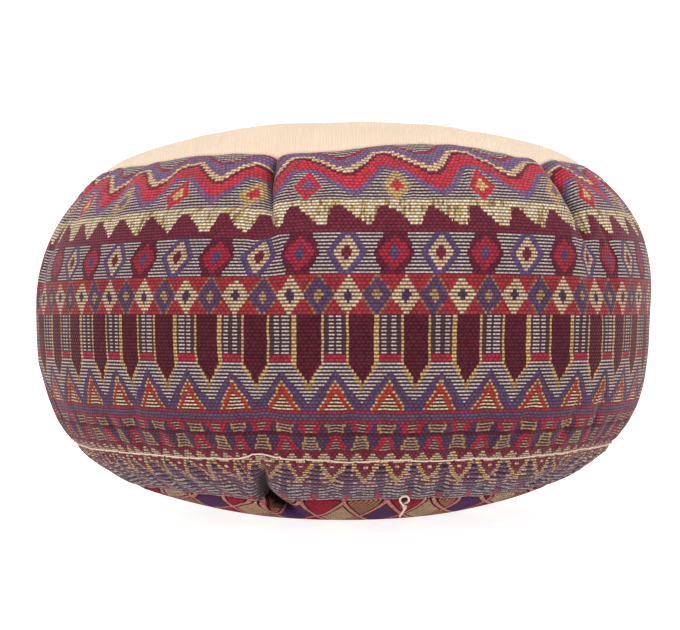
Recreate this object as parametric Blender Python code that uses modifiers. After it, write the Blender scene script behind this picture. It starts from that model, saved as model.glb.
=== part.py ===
"""Round floor cushion: a removable three-panel cover with a zip in its base seam, over a calico liner full of fibre.

Everything is a turned form about Z. The outside of the cover is one smooth profile, measured by its arc length from the edge
of the flat resting patch (0) over the widest part to the middle of the top. Each fabric layer is a band of that profile at a
stated depth below the surface, so panels, folded hems, liner and filling nest without touching. Units: millimetres in the
functions, metres in Blender. +Z up, origin at the centre of the resting patch, front towards -Y.
"""

import math

import bmesh
import bpy
import numpy as np
from mathutils import Matrix, Vector

MM = 0.001

# ---- overall form: radius and height of the cover's outside, from the resting patch up to the crown
REST_RADIUS = 49.4
MAX_RADIUS = 200.0
HEIGHT = 254.4
STATIONS = [
    (REST_RADIUS, 0.0),
    (94.2, 6.4),
    (111.9, 11.2),
    (147.6, 25.3),
    (176.5, 47.7),
    (197.0, 92.8),
    (MAX_RADIUS, 125.5),
    (195.1, 172.1),
    (169.4, 214.7),
    (108.0, 243.5),
    (60.0, 250.7),
    (0.0, HEIGHT),
]

# ---- where things are sewn, as arc length from the edge of the resting patch
BASE_SEAM = 90.4
HEM_STITCH = 138.1
TOP_SEAM = 332.6

# ---- fabric thicknesses
JACQUARD = 1.5
BASE_CLOTH = 1.2
CANVAS = 1.0
CALICO = 0.8
FOLD_GAP = 0.5

# ---- hems and seams
SLOT_HALF = 1.25  # half the width of the zip slot along the surface
HEM_END = HEM_STITCH + 6.0  # the wide base hem is caught by the row of hand stitching
TOP_HEM = 12.0
BASE_HEM = 12.0
THREAD_R = 0.5
HEM_THREAD_R = 0.55
JOIN_SLIT = 1.7

# ---- turning resolution
TURN = 36
LINER_TURN = 20
STEP = 360.0 / TURN

# ---- zip: angles in degrees about Z, anticlockwise from +X seen from above; the front is at 270
SLIDER_ANGLE = 284.8
ZIP_TRAVEL = 118.0
TAPE_ANGLES = (270.0, 420.0)
COIL_ANGLES = (280.0, 410.0)
STOP_HALF_ANGLE = 1.0
TAPE_DEPTH = (5.4, 5.9)
TAPE_SPAN = (1.3, 12.0)
COIL_DEPTH = (6.3, 8.0)
COIL_SPAN = (1.25, 2.95)
PLATE_HALF_WIDTH = 4.2
PLATE_HALF_LENGTH = 4.5
UPPER_PLATE = (3.95, 4.9)
LOWER_PLATE = (8.5, 9.5)
NECK_HALF = 0.6
WEB_HALF = 0.35
HEAD_HALF_LENGTH = 2.4
HEAD_OUT = 3.4
EYE_OUT = 1.9
EYE_R = 0.95

# ---- pull thread: route in the slider's own axes (along the seam, up the surface, out of the surface)
PULL_R = 0.6
PULL_ROUTE = [
    (0.2, -1.6, 1.9),
    (0.0, 0.0, 1.9),
    (0.6, 2.2, 1.9),
    (1.3, 4.8, 1.9),
    (1.0, 7.6, 1.5),
    (-0.6, 10.6, 1.0),
    (-2.4, 12.2, 0.8),
    (-3.9, 11.2, 1.0),
    (-4.6, 8.6, 1.3),
    (-3.8, 5.4, 1.8),
    (-2.2, 2.9, 2.7),
    (-0.4, 1.0, 3.8),
    (0.3, 0.0, 4.7),
    (-0.6, -1.0, 5.9),
    (-1.9, -2.0, 7.5),
    (-2.9, -2.8, 9.0),
]

# ---- liner: how far below the cover's surface it lies, making room for hems and zip
LINER_DEPTHS = [
    (-REST_RADIUS, 2.0),
    (62.0, 2.0),
    (75.0, 7.2),
    (84.0, 11.0),
    (97.0, 11.0),
    (111.0, 4.8),
    (147.0, 4.8),
    (162.0, 3.5),
    (308.0, 3.5),
    (318.0, 5.8),
    (336.0, 5.8),
    (348.0, 2.2),
    (600.0, 2.2),
]
LINER_BASE_SEAM = 122.0
LINER_TOP_SEAM = 300.0
LINER_THREAD_R = 0.4


# ------------------------------------------------------------------ profile
def clamped_spline(points, samples):
    """A cubic spline through points, level at both ends, as `samples` points along it."""
    p = np.array(points, float)
    t = np.concatenate([[0.0], np.cumsum(np.hypot(*np.diff(p, axis=0).T))])
    n = len(p)
    h = np.diff(t)
    a = np.zeros((n, n))
    b = np.zeros((n, 2))
    a[0, 0] = a[-1, -1] = 1.0
    b[0] = (1.0, 0.0)
    b[-1] = (-1.0, 0.0)
    for i in range(1, n - 1):
        a[i, i - 1] = h[i]
        a[i, i] = 2.0 * (h[i - 1] + h[i])
        a[i, i + 1] = h[i - 1]
        b[i] = 3.0 * (h[i] * (p[i] - p[i - 1]) / h[i - 1] + h[i - 1] * (p[i + 1] - p[i]) / h[i])
    m = np.linalg.solve(a, b)
    out = []
    for tt in np.linspace(0.0, t[-1], samples):
        i = min(max(int(np.searchsorted(t, tt, side="right")) - 1, 0), n - 2)
        x = (tt - t[i]) / h[i]
        out.append(
            (2 * x**3 - 3 * x**2 + 1) * p[i]
            + (x**3 - 2 * x**2 + x) * h[i] * m[i]
            + (-2 * x**3 + 3 * x**2) * p[i + 1]
            + (x**3 - x**2) * h[i] * m[i + 1]
        )
    return np.array(out)


CURVE = clamped_spline(STATIONS, 3000)
ARC = np.concatenate([[0.0], np.cumsum(np.hypot(*np.diff(CURVE, axis=0).T))])
CROWN = float(ARC[-1])
SLOPE = np.unwrap(np.arctan2(np.gradient(CURVE[:, 1]), np.gradient(CURVE[:, 0])))


def at(s, depth):
    """Radius and height of the point `depth` inside the surface at arc length s; s below 0 is on the resting patch."""
    if s <= 0.0:
        return (max(REST_RADIUS + s, 0.0), depth)
    if s >= CROWN:
        return (0.0, HEIGHT - depth)
    r = float(np.interp(s, ARC, CURVE[:, 0]))
    z = float(np.interp(s, ARC, CURVE[:, 1]))
    th = float(np.interp(s, ARC, SLOPE))
    return (max(r - depth * math.sin(th), 0.0), z + depth * math.cos(th))


def spaced(s0, s1, step=19.0, extra=()):
    """Arc lengths from s0 to s1, on one common grid so that neighbouring layers share their corners."""
    lo, hi = min(s0, s1), max(s0, s1)
    grid = [k * step for k in range(int(-10), int(60)) if lo + 2.0 < k * step < hi - 2.0]
    grid += [e for e in extra if lo + 0.5 < e < hi - 0.5]
    out = [lo]
    for g in sorted(grid):
        if g - out[-1] > 1.5:
            out.append(g)
    out.append(hi)
    return out if s0 < s1 else out[::-1]


def arc_points(cs, cd, radius, a0, a1, n):
    """Points of a fold, in arc length and depth."""
    return [
        (cs + radius * math.cos(math.radians(a0 + (a1 - a0) * i / n)), cd + radius * math.sin(math.radians(a0 + (a1 - a0) * i / n)))
        for i in range(n + 1)
    ]


def to_rz(path):
    return [at(s, d) for s, d in path]


def signed_area(rz):
    return 0.5 * sum(a[0] * b[1] - b[0] * a[1] for a, b in zip(rz, rz[1:] + rz[:1]))


# ------------------------------------------------------------------ building
for old in list(bpy.data.objects):
    bpy.data.objects.remove(old, do_unlink=True)

cushion = bpy.data.collections.new("floor_cushion")
bpy.context.scene.collection.children.link(cushion)
construction = bpy.data.collections.new("construction")
bpy.context.scene.collection.children.link(construction)


def material(name, colour, roughness, metallic=0.0):
    mat = bpy.data.materials.new(name)
    mat.use_nodes = True
    shader = mat.node_tree.nodes["Principled BSDF"]
    shader.inputs["Base Color"].default_value = (*colour, 1.0)
    shader.inputs["Roughness"].default_value = roughness
    shader.inputs["Metallic"].default_value = metallic
    return mat


MATERIALS = {
    "canvas": material("canvas", (0.80, 0.66, 0.50), 0.9),
    "jacquard": material("jacquard", (0.17, 0.06, 0.08), 0.9),
    "base_jacquard": material("base_jacquard", (0.22, 0.07, 0.08), 0.9),
    "natural_thread": material("natural_thread", (0.75, 0.66, 0.56), 0.8),
    "sewing_thread": material("sewing_thread", (0.14, 0.03, 0.05), 0.7),
    "zip_tape": material("zip_tape", (0.09, 0.03, 0.04), 0.85),
    "nylon_coil": material("nylon_coil", (0.10, 0.03, 0.04), 0.35),
    "zip_metal": material("zip_metal", (0.30, 0.26, 0.20), 0.35, 1.0),
    "calico": material("calico", (0.72, 0.68, 0.60), 0.95),
    "fibre": material("fibre", (0.85, 0.85, 0.84), 1.0),
    "label": material("label", (0.82, 0.80, 0.76), 0.7),
}


def add(name, mesh, slot):
    obj = bpy.data.objects.new(name, mesh)
    obj.data.materials.append(MATERIALS[slot])
    cushion.objects.link(obj)
    return obj


def smooth(obj, angle=35.0):
    if obj.type == "MESH":
        obj.data.shade_smooth()
        obj.data.set_sharp_from_angle(angle=math.radians(angle))


def turned(name, rz, slot, steps=TURN, closed=True):
    """A full turn of a cross-section. A closed one is a ring; an open one runs from the axis out, round and back to it."""
    if closed and signed_area(rz) > 0.0:
        rz = rz[::-1]
    mesh = bpy.data.meshes.new(name)
    verts = [(r * MM, 0.0, z * MM) for r, z in rz]
    n = len(verts)
    edges = [(i, i + 1) for i in range(n - 1)] + ([(n - 1, 0)] if closed else [])
    mesh.from_pydata(verts, edges, [])
    obj = add(name, mesh, slot)
    turn = obj.modifiers.new("turn", "SCREW")
    turn.axis = "Z"
    turn.angle = 2.0 * math.pi
    turn.steps = steps
    turn.render_steps = steps
    turn.use_merge_vertices = True
    turn.merge_threshold = 0.00005
    turn.use_smooth_shade = True
    return obj


def swept(name, rz, slot, a0, a1, step=STEP):
    """A cross-section carried part of the way round, closed at both ends."""
    mesh = bpy.data.meshes.new(name)
    bm = bmesh.new()
    start = math.radians(a0)
    verts = [bm.verts.new((r * MM * math.cos(start), r * MM * math.sin(start), z * MM)) for r, z in rz]
    face = bm.faces.new(verts)
    steps = max(1, round((a1 - a0) / step))
    bmesh.ops.spin(
        bm,
        geom=[face, *face.edges, *face.verts],
        cent=(0, 0, 0),
        axis=(0, 0, 1),
        dvec=(0, 0, 0),
        angle=math.radians(a1 - a0),
        steps=steps,
        use_duplicate=False,
    )
    bmesh.ops.recalc_face_normals(bm, faces=bm.faces)
    bm.to_mesh(mesh)
    bm.free()
    obj = add(name, mesh, slot)
    smooth(obj)
    return obj


def round_section(s, depth, radius, sides=6):
    r, z = at(s, depth)
    return [(r + radius * math.cos(2 * math.pi * k / sides), z + radius * math.sin(2 * math.pi * k / sides)) for k in range(sides)]


# ---- side band: a wide wall, with its top edge turned in and a deep hem turned in at the base
fold_r = (2 * JACQUARD + FOLD_GAP) / 2.0
inner_r = FOLD_GAP / 2.0
lo = BASE_SEAM + SLOT_HALF + fold_r
hi = TOP_SEAM - 0.9 - fold_r
hem_ends = (HEM_END, TOP_SEAM - TOP_HEM)
band = []
band += [(s, 0.0) for s in spaced(hi, lo, extra=hem_ends)]
band += arc_points(lo, fold_r, fold_r, 270, 90, 4)[1:-1]
band += [(s, 2 * fold_r) for s in spaced(lo, HEM_END)]
band += [(s, JACQUARD + FOLD_GAP) for s in spaced(HEM_END, lo)]
band += arc_points(lo, fold_r, inner_r, 90, 270, 2)[1:-1]
band += [(s, JACQUARD) for s in spaced(lo, hi, extra=hem_ends)]
band += arc_points(hi, fold_r, inner_r, -90, 90, 2)[1:-1]
band += [(hi, JACQUARD + FOLD_GAP), (TOP_SEAM - TOP_HEM, JACQUARD + FOLD_GAP), (TOP_SEAM - TOP_HEM, 2 * fold_r), (hi, 2 * fold_r)]
band += arc_points(hi, fold_r, fold_r, 90, -90, 4)[1:-1]
side_band = turned("side_band", to_rz(band), "jacquard")

# the band is one strip, so its two ends meet in an upright join at the back
cutter_mesh = bpy.data.meshes.new("join_slit")
bm = bmesh.new()
bmesh.ops.create_cube(bm, size=1.0)
bm.to_mesh(cutter_mesh)
bm.free()
join_slit = bpy.data.objects.new("join_slit", cutter_mesh)
join_slit.scale = (JOIN_SLIT * MM, 0.16, 0.32)
join_slit.location = (0.0, 0.17, 0.13)
join_slit.hide_render = True
join_slit.display_type = "WIRE"
construction.objects.link(join_slit)
cut = side_band.modifiers.new("join", "BOOLEAN")
cut.operation = "DIFFERENCE"
cut.solver = "EXACT"
cut.object = join_slit


def wire(name, points, radius, slot, resolution=2):
    curve = bpy.data.curves.new(name, "CURVE")
    curve.dimensions = "3D"
    curve.bevel_depth = radius * MM
    curve.bevel_resolution = resolution
    curve.render_resolution_u = 0
    curve.use_fill_caps = True
    spline = curve.splines.new("POLY")
    spline.points.add(len(points) - 1)
    for point, co in zip(spline.points, points):
        point.co = (co[0] * MM, co[1] * MM, co[2] * MM, 1.0)
    return add(name, curve, slot)


join_points = [(0.0, *at(s, JACQUARD / 2)) for s in spaced(lo + 1.0, hi - 1.0, 12.0)]
wire("band_join_thread", join_points, THREAD_R, "sewing_thread")

# ---- top panel: a domed canvas disc whose edge dives inside the band's top fold
t = CANVAS / 2.0
edge = TOP_SEAM
middle = [(edge + 3.2, t), (edge + 1.9, 0.9), (edge + 1.3, 2.2), (edge + 0.4, 3.6), (edge - 1.4, 4.5), (edge - 10.5, 4.55)]


def thick(path, half):
    """Both sides of a strip about a centre line given in arc length and depth: outer side first."""
    upper, lower = [], []
    for i, (s, d) in enumerate(path):
        s0, d0 = path[max(i - 1, 0)]
        s1, d1 = path[min(i + 1, len(path) - 1)]
        ls, ld = s1 - s0, d1 - d0
        ln = math.hypot(ls, ld)
        ns, nd = -ld / ln, ls / ln
        upper.append((s + ns * half, d + nd * half))
        lower.append((s - ns * half, d - nd * half))
    return upper, lower


dome = [(s, t) for s in spaced(CROWN, edge + 6.0)]
centre_line = dome[:-1] + [(edge + 6.0, t)] + middle
upper, lower = thick(centre_line, t)
upper[0], lower[0] = (CROWN + 1.0, 0.0), (CROWN + 1.0, CANVAS)
turned("top_panel", to_rz(upper) + to_rz(lower)[::-1], "canvas", closed=False)

# ---- bottom panel: flat where it rests, then domed out to the zip slot, with its edge turned in
base_r = (2 * BASE_CLOTH + FOLD_GAP) / 2.0
rim = BASE_SEAM - SLOT_HALF - base_r
base = [(-REST_RADIUS - 1.0, BASE_CLOTH)]
base_stations = [0.0, *spaced(8.0, rim, extra=(BASE_SEAM - BASE_HEM,))]
base += [(s, BASE_CLOTH) for s in base_stations]
base += arc_points(rim, base_r, inner_r, -90, 90, 2)[1:-1]
base += [(rim, BASE_CLOTH + FOLD_GAP), (BASE_SEAM - BASE_HEM, BASE_CLOTH + FOLD_GAP), (BASE_SEAM - BASE_HEM, 2 * base_r), (rim, 2 * base_r)]
base += arc_points(rim, base_r, base_r, 90, -90, 4)[1:-1]
base += [(s, 0.0) for s in base_stations[::-1]]
base += [(-REST_RADIUS - 1.0, 0.0)]
turned("bottom_panel", to_rz(base), "base_jacquard", closed=False)

# ---- threads in the seams and the hand-stitched row that holds the hem
turned("top_seam_thread", round_section(TOP_SEAM + 0.25, 0.4, THREAD_R), "sewing_thread")
turned("hem_stitching", round_section(HEM_STITCH, -(HEM_THREAD_R + 0.4), HEM_THREAD_R), "natural_thread")
swept("base_seam_thread", round_section(BASE_SEAM, 0.75, THREAD_R), "sewing_thread", COIL_ANGLES[1] - 360.0, COIL_ANGLES[0])


# ---- zip, in a cross-section square to the surface at the base seam
def square_to_seam(u, depth):
    """Radius and height of a point u up the surface and depth inside it, on straight axes at the base seam."""
    r0, z0 = at(BASE_SEAM, 0.0)
    th = float(np.interp(BASE_SEAM, ARC, SLOPE))
    return (r0 + u * math.cos(th) - depth * math.sin(th), z0 + u * math.sin(th) + depth * math.cos(th))


def box_section(u0, u1, d0, d1):
    return [square_to_seam(u0, d0), square_to_seam(u1, d0), square_to_seam(u1, d1), square_to_seam(u0, d1)]


def coil_section(sign):
    u0, u1 = COIL_SPAN
    d0, d1 = COIL_DEPTH
    c = 0.4
    pts = [(u0 + c, d0), (u1 - c, d0), (u1, d0 + c), (u1, d1 - c), (u1 - c, d1), (u0 + c, d1), (u0, d1 - c), (u0, d0 + c)]
    return [square_to_seam(sign * u, d) for u, d in pts]


swept("zip_tape_upper", box_section(TAPE_SPAN[0], TAPE_SPAN[1], *TAPE_DEPTH), "zip_tape", *TAPE_ANGLES)
swept("zip_tape_lower", box_section(-TAPE_SPAN[0], -TAPE_SPAN[1], *TAPE_DEPTH), "zip_tape", *TAPE_ANGLES)
swept("zip_coil_upper", coil_section(1), "nylon_coil", *COIL_ANGLES)
swept("zip_coil_lower", coil_section(-1), "nylon_coil", *COIL_ANGLES)


def stop_section():
    """A metal staple bent round both coils from the inside."""
    a, b, top, bottom, lip = 3.45, 4.0, 6.5, 9.2, 8.4
    pts = [(-b, top), (-a, top), (-a, lip), (a, lip), (a, top), (b, top), (b, bottom), (-b, bottom)]
    return [square_to_seam(u, d) for u, d in pts]


half_plate = math.degrees(PLATE_HALF_LENGTH / at(BASE_SEAM, 0.0)[0])
closed_stop = SLIDER_ANGLE - half_plate - 1.5 - STOP_HALF_ANGLE
open_stop = SLIDER_ANGLE + ZIP_TRAVEL + half_plate + 1.5 + STOP_HALF_ANGLE
for label, angle in (("zip_stop_closed", closed_stop), ("zip_stop_open", open_stop)):
    swept(label, stop_section(), "zip_metal", angle - STOP_HALF_ANGLE, angle + STOP_HALF_ANGLE, 2.0)

# ---- slider: two plates joined by a web between the coils, and a neck through the slot to an eye for the pull thread
zip_axis = bpy.data.objects.new("zip_axis", None)
zip_axis.empty_display_size = 0.05
cushion.objects.link(zip_axis)

seam_r, seam_z = at(BASE_SEAM, 0.0)
seam_slope = float(np.interp(BASE_SEAM, ARC, SLOPE))
spin = math.radians(SLIDER_ANGLE)
radial = Vector((math.cos(spin), math.sin(spin), 0.0))
along = Vector((-math.sin(spin), math.cos(spin), 0.0))
up_cloth = radial * math.cos(seam_slope) + Vector((0, 0, 1)) * math.sin(seam_slope)
outward = radial * math.sin(seam_slope) - Vector((0, 0, 1)) * math.cos(seam_slope)
seam_point = (radial * seam_r + Vector((0, 0, seam_z))) * MM
slider_frame = Matrix(
    (
        (along.x, up_cloth.x, outward.x, seam_point.x),
        (along.y, up_cloth.y, outward.y, seam_point.y),
        (along.z, up_cloth.z, outward.z, seam_point.z),
        (0, 0, 0, 1),
    )
)
if slider_frame.determinant() < 0:
    raise SystemExit("slider axes are left-handed")


def block(name, size, centre, keep):
    """A box in the slider's axes: along the seam, up the cloth, outward."""
    mesh = bpy.data.meshes.new(name)
    b = bmesh.new()
    bmesh.ops.create_cube(b, size=1.0)
    bmesh.ops.scale(b, vec=[v * MM for v in size], verts=b.verts)
    bmesh.ops.translate(b, vec=[v * MM for v in centre], verts=b.verts)
    b.to_mesh(mesh)
    b.free()
    if keep:
        obj = add(name, mesh, "zip_metal")
    else:
        obj = bpy.data.objects.new(name, mesh)
        obj.hide_render = True
        obj.display_type = "WIRE"
        construction.objects.link(obj)
    obj.parent = zip_axis
    obj.matrix_local = slider_frame
    return obj


def mid(a, b):
    return (a + b) / 2.0


slider = block(
    "zip_slider", (2 * PLATE_HALF_LENGTH, 2 * PLATE_HALF_WIDTH, UPPER_PLATE[1] - UPPER_PLATE[0]), (0, 0, -mid(*UPPER_PLATE)), True
)
bevel = slider.modifiers.new("rounded", "BEVEL")
bevel.width = 0.9 * MM
bevel.segments = 2
bevel.limit_method = "ANGLE"
bevel.affect = "EDGES"
joined = [
    block("web_block", (3.0, 2 * WEB_HALF, LOWER_PLATE[0] - UPPER_PLATE[1] + 1.0), (-2.6, 0, -mid(UPPER_PLATE[1], LOWER_PLATE[0])), False),
    block("lower_block", (2 * PLATE_HALF_LENGTH, 2 * PLATE_HALF_WIDTH, LOWER_PLATE[1] - LOWER_PLATE[0]), (0, 0, -mid(*LOWER_PLATE)), False),
    block("neck_block", (2 * HEAD_HALF_LENGTH, 2 * NECK_HALF, HEAD_OUT + UPPER_PLATE[0] + 0.4), (0, 0, mid(HEAD_OUT, -UPPER_PLATE[0] - 0.4)), False),
]
bevel.width = 0.3 * MM
for piece in joined:
    union = slider.modifiers.new(piece.name, "BOOLEAN")
    union.operation = "UNION"
    union.solver = "EXACT"
    union.object = piece
eye_mesh = bpy.data.meshes.new("eye_drill")
b = bmesh.new()
bmesh.ops.create_cone(b, cap_ends=True, segments=16, radius1=EYE_R * MM, radius2=EYE_R * MM, depth=6 * MM)
bmesh.ops.rotate(b, cent=(0, 0, 0), matrix=Matrix.Rotation(math.radians(90), 3, "X"), verts=b.verts)
bmesh.ops.translate(b, vec=(0, 0, EYE_OUT * MM), verts=b.verts)
b.to_mesh(eye_mesh)
b.free()
eye = bpy.data.objects.new("eye_drill", eye_mesh)
eye.hide_render = True
eye.display_type = "WIRE"
construction.objects.link(eye)
eye.parent = zip_axis
eye.matrix_local = slider_frame
drill = slider.modifiers.new("eye", "BOOLEAN")
drill.operation = "DIFFERENCE"
drill.solver = "EXACT"
drill.object = eye


def smooth_route(points, spacing):
    """A Catmull-Rom curve through points, read off at equal steps."""
    p = [Vector(q) for q in points]
    p = [p[0] * 2 - p[1], *p, p[-1] * 2 - p[-2]]
    fine = []
    for i in range(1, len(p) - 2):
        for k in range(40):
            x = k / 40.0
            fine.append(
                0.5
                * (
                    2 * p[i]
                    + (p[i + 1] - p[i - 1]) * x
                    + (2 * p[i - 1] - 5 * p[i] + 4 * p[i + 1] - p[i + 2]) * x**2
                    + (3 * p[i] - p[i - 1] - 3 * p[i + 1] + p[i + 2]) * x**3
                )
            )
    fine.append(p[-2].copy())
    length = [0.0]
    for q0, q1 in zip(fine, fine[1:]):
        length.append(length[-1] + (q1 - q0).length)
    count = max(2, round(length[-1] / spacing))
    out = []
    for k in range(count + 1):
        target = length[-1] * k / count
        i = min(int(np.searchsorted(length, target)), len(fine) - 1)
        if i == 0:
            out.append(fine[0].copy())
            continue
        w = (target - length[i - 1]) / max(length[i] - length[i - 1], 1e-9)
        out.append(fine[i - 1].lerp(fine[i], w))
    return out, length[-1]


route, route_length = smooth_route(PULL_ROUTE, 1.9)
pull = wire("pull_thread", [tuple(q) for q in route], PULL_R, "natural_thread")
pull.parent = zip_axis
pull.matrix_local = slider_frame

# ---- liner and filling
LINER_MARKS = [s for s, _ in LINER_DEPTHS]


def liner_depth(s):
    return float(np.interp(s, LINER_MARKS, [d for _, d in LINER_DEPTHS]))


def liner_layer(s_values, extra):
    return [(s, liner_depth(s) + extra) for s in s_values]


GAP = LINER_THREAD_R + 0.3
top_s = spaced(CROWN, LINER_TOP_SEAM + GAP, extra=LINER_MARKS)
side_s = spaced(LINER_TOP_SEAM - GAP, LINER_BASE_SEAM + GAP, extra=LINER_MARKS)
bottom_s = spaced(LINER_BASE_SEAM - GAP, 0.0, extra=LINER_MARKS)

outer = [(CROWN + 1.0, liner_depth(CROWN))] + liner_layer(top_s[1:], 0.0)
inner = [(CROWN + 1.0, liner_depth(CROWN) + CALICO)] + liner_layer(top_s[1:], CALICO)
turned("liner_top", to_rz(outer) + to_rz(inner)[::-1], "calico", LINER_TURN, closed=False)
turned("liner_side", to_rz(liner_layer(side_s, 0.0)) + to_rz(liner_layer(side_s, CALICO))[::-1], "calico", LINER_TURN)
outer = liner_layer(bottom_s, 0.0) + [(-REST_RADIUS - 1.0, liner_depth(0.0))]
inner = liner_layer(bottom_s, CALICO) + [(-REST_RADIUS - 1.0, liner_depth(0.0) + CALICO)]
turned("liner_bottom", to_rz(inner)[::-1] + to_rz(outer), "calico", LINER_TURN, closed=False)
for label, s in (("liner_top_thread", LINER_TOP_SEAM), ("liner_base_thread", LINER_BASE_SEAM)):
    turned(label, round_section(s, liner_depth(s) + CALICO / 2, LINER_THREAD_R, 5), "natural_thread", LINER_TURN)

fill = [(CROWN + 1.0, liner_depth(CROWN) + CALICO + 0.5)]
fill += liner_layer(spaced(CROWN, 0.0, extra=LINER_MARKS)[1:], CALICO + 0.5)
fill += [(-REST_RADIUS - 1.0, liner_depth(0.0) + CALICO + 0.5)]
turned("fibre_filling", to_rz(fill), "fibre", LINER_TURN, closed=False)

# ---- care label: a blank woven tab sewn inside the band near the back join
swept("care_label", [at(196.0, 2.0), at(208.0, 2.0), at(224.0, 2.0), at(224.0, 2.3), at(208.0, 2.3), at(196.0, 2.3)], "label", 50.0, 70.0)
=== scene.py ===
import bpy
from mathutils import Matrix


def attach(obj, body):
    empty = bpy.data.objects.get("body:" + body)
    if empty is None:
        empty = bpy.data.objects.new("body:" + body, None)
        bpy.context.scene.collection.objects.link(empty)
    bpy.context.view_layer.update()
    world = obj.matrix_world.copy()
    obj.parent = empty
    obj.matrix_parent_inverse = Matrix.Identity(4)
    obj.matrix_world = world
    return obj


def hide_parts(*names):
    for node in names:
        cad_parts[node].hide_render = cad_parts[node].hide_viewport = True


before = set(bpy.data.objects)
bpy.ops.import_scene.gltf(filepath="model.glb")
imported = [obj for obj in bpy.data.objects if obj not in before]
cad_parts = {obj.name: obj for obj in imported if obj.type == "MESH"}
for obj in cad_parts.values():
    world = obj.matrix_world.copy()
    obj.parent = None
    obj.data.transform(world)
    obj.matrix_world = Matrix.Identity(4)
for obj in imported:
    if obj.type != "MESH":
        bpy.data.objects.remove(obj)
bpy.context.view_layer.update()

import math

import bpy
import bmesh
import numpy as np
from mathutils import Matrix, Vector

RNG = np.random.RandomState(7)
MM = 0.001

# ============================================================ camera, floor and light
scene = bpy.context.scene
scene.view_settings.view_transform = "Standard"
scene.view_settings.look = "None"
scene.view_settings.exposure = 0.0
scene.view_settings.gamma = 1.0

cam_data = bpy.data.cameras.new("camera")
cam = bpy.data.objects.new("camera", cam_data)
scene.collection.objects.link(cam)
cam_data.sensor_width = 36.0
cam_data.lens = 36.0 * 1716.4 / 680.0
cam.location = (0.0, -1.140, 0.1281)
cam.rotation_euler = (math.radians(90), 0, 0)
cam_data.shift_x = -4.0 / 680.0
cam_data.shift_y = 2.0 / 680.0
cam_data.clip_start = 0.02
cam_data.clip_end = 60.0
scene.camera = cam


def srgb(r, g, b):
    out = []
    for v in (r, g, b):
        v = v / 255.0
        out.append(v / 12.92 if v <= 0.04045 else ((v + 0.055) / 1.055) ** 2.4)
    return (out[0], out[1], out[2], 1.0)


def link(obj):
    scene.collection.objects.link(obj)
    return obj


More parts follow.
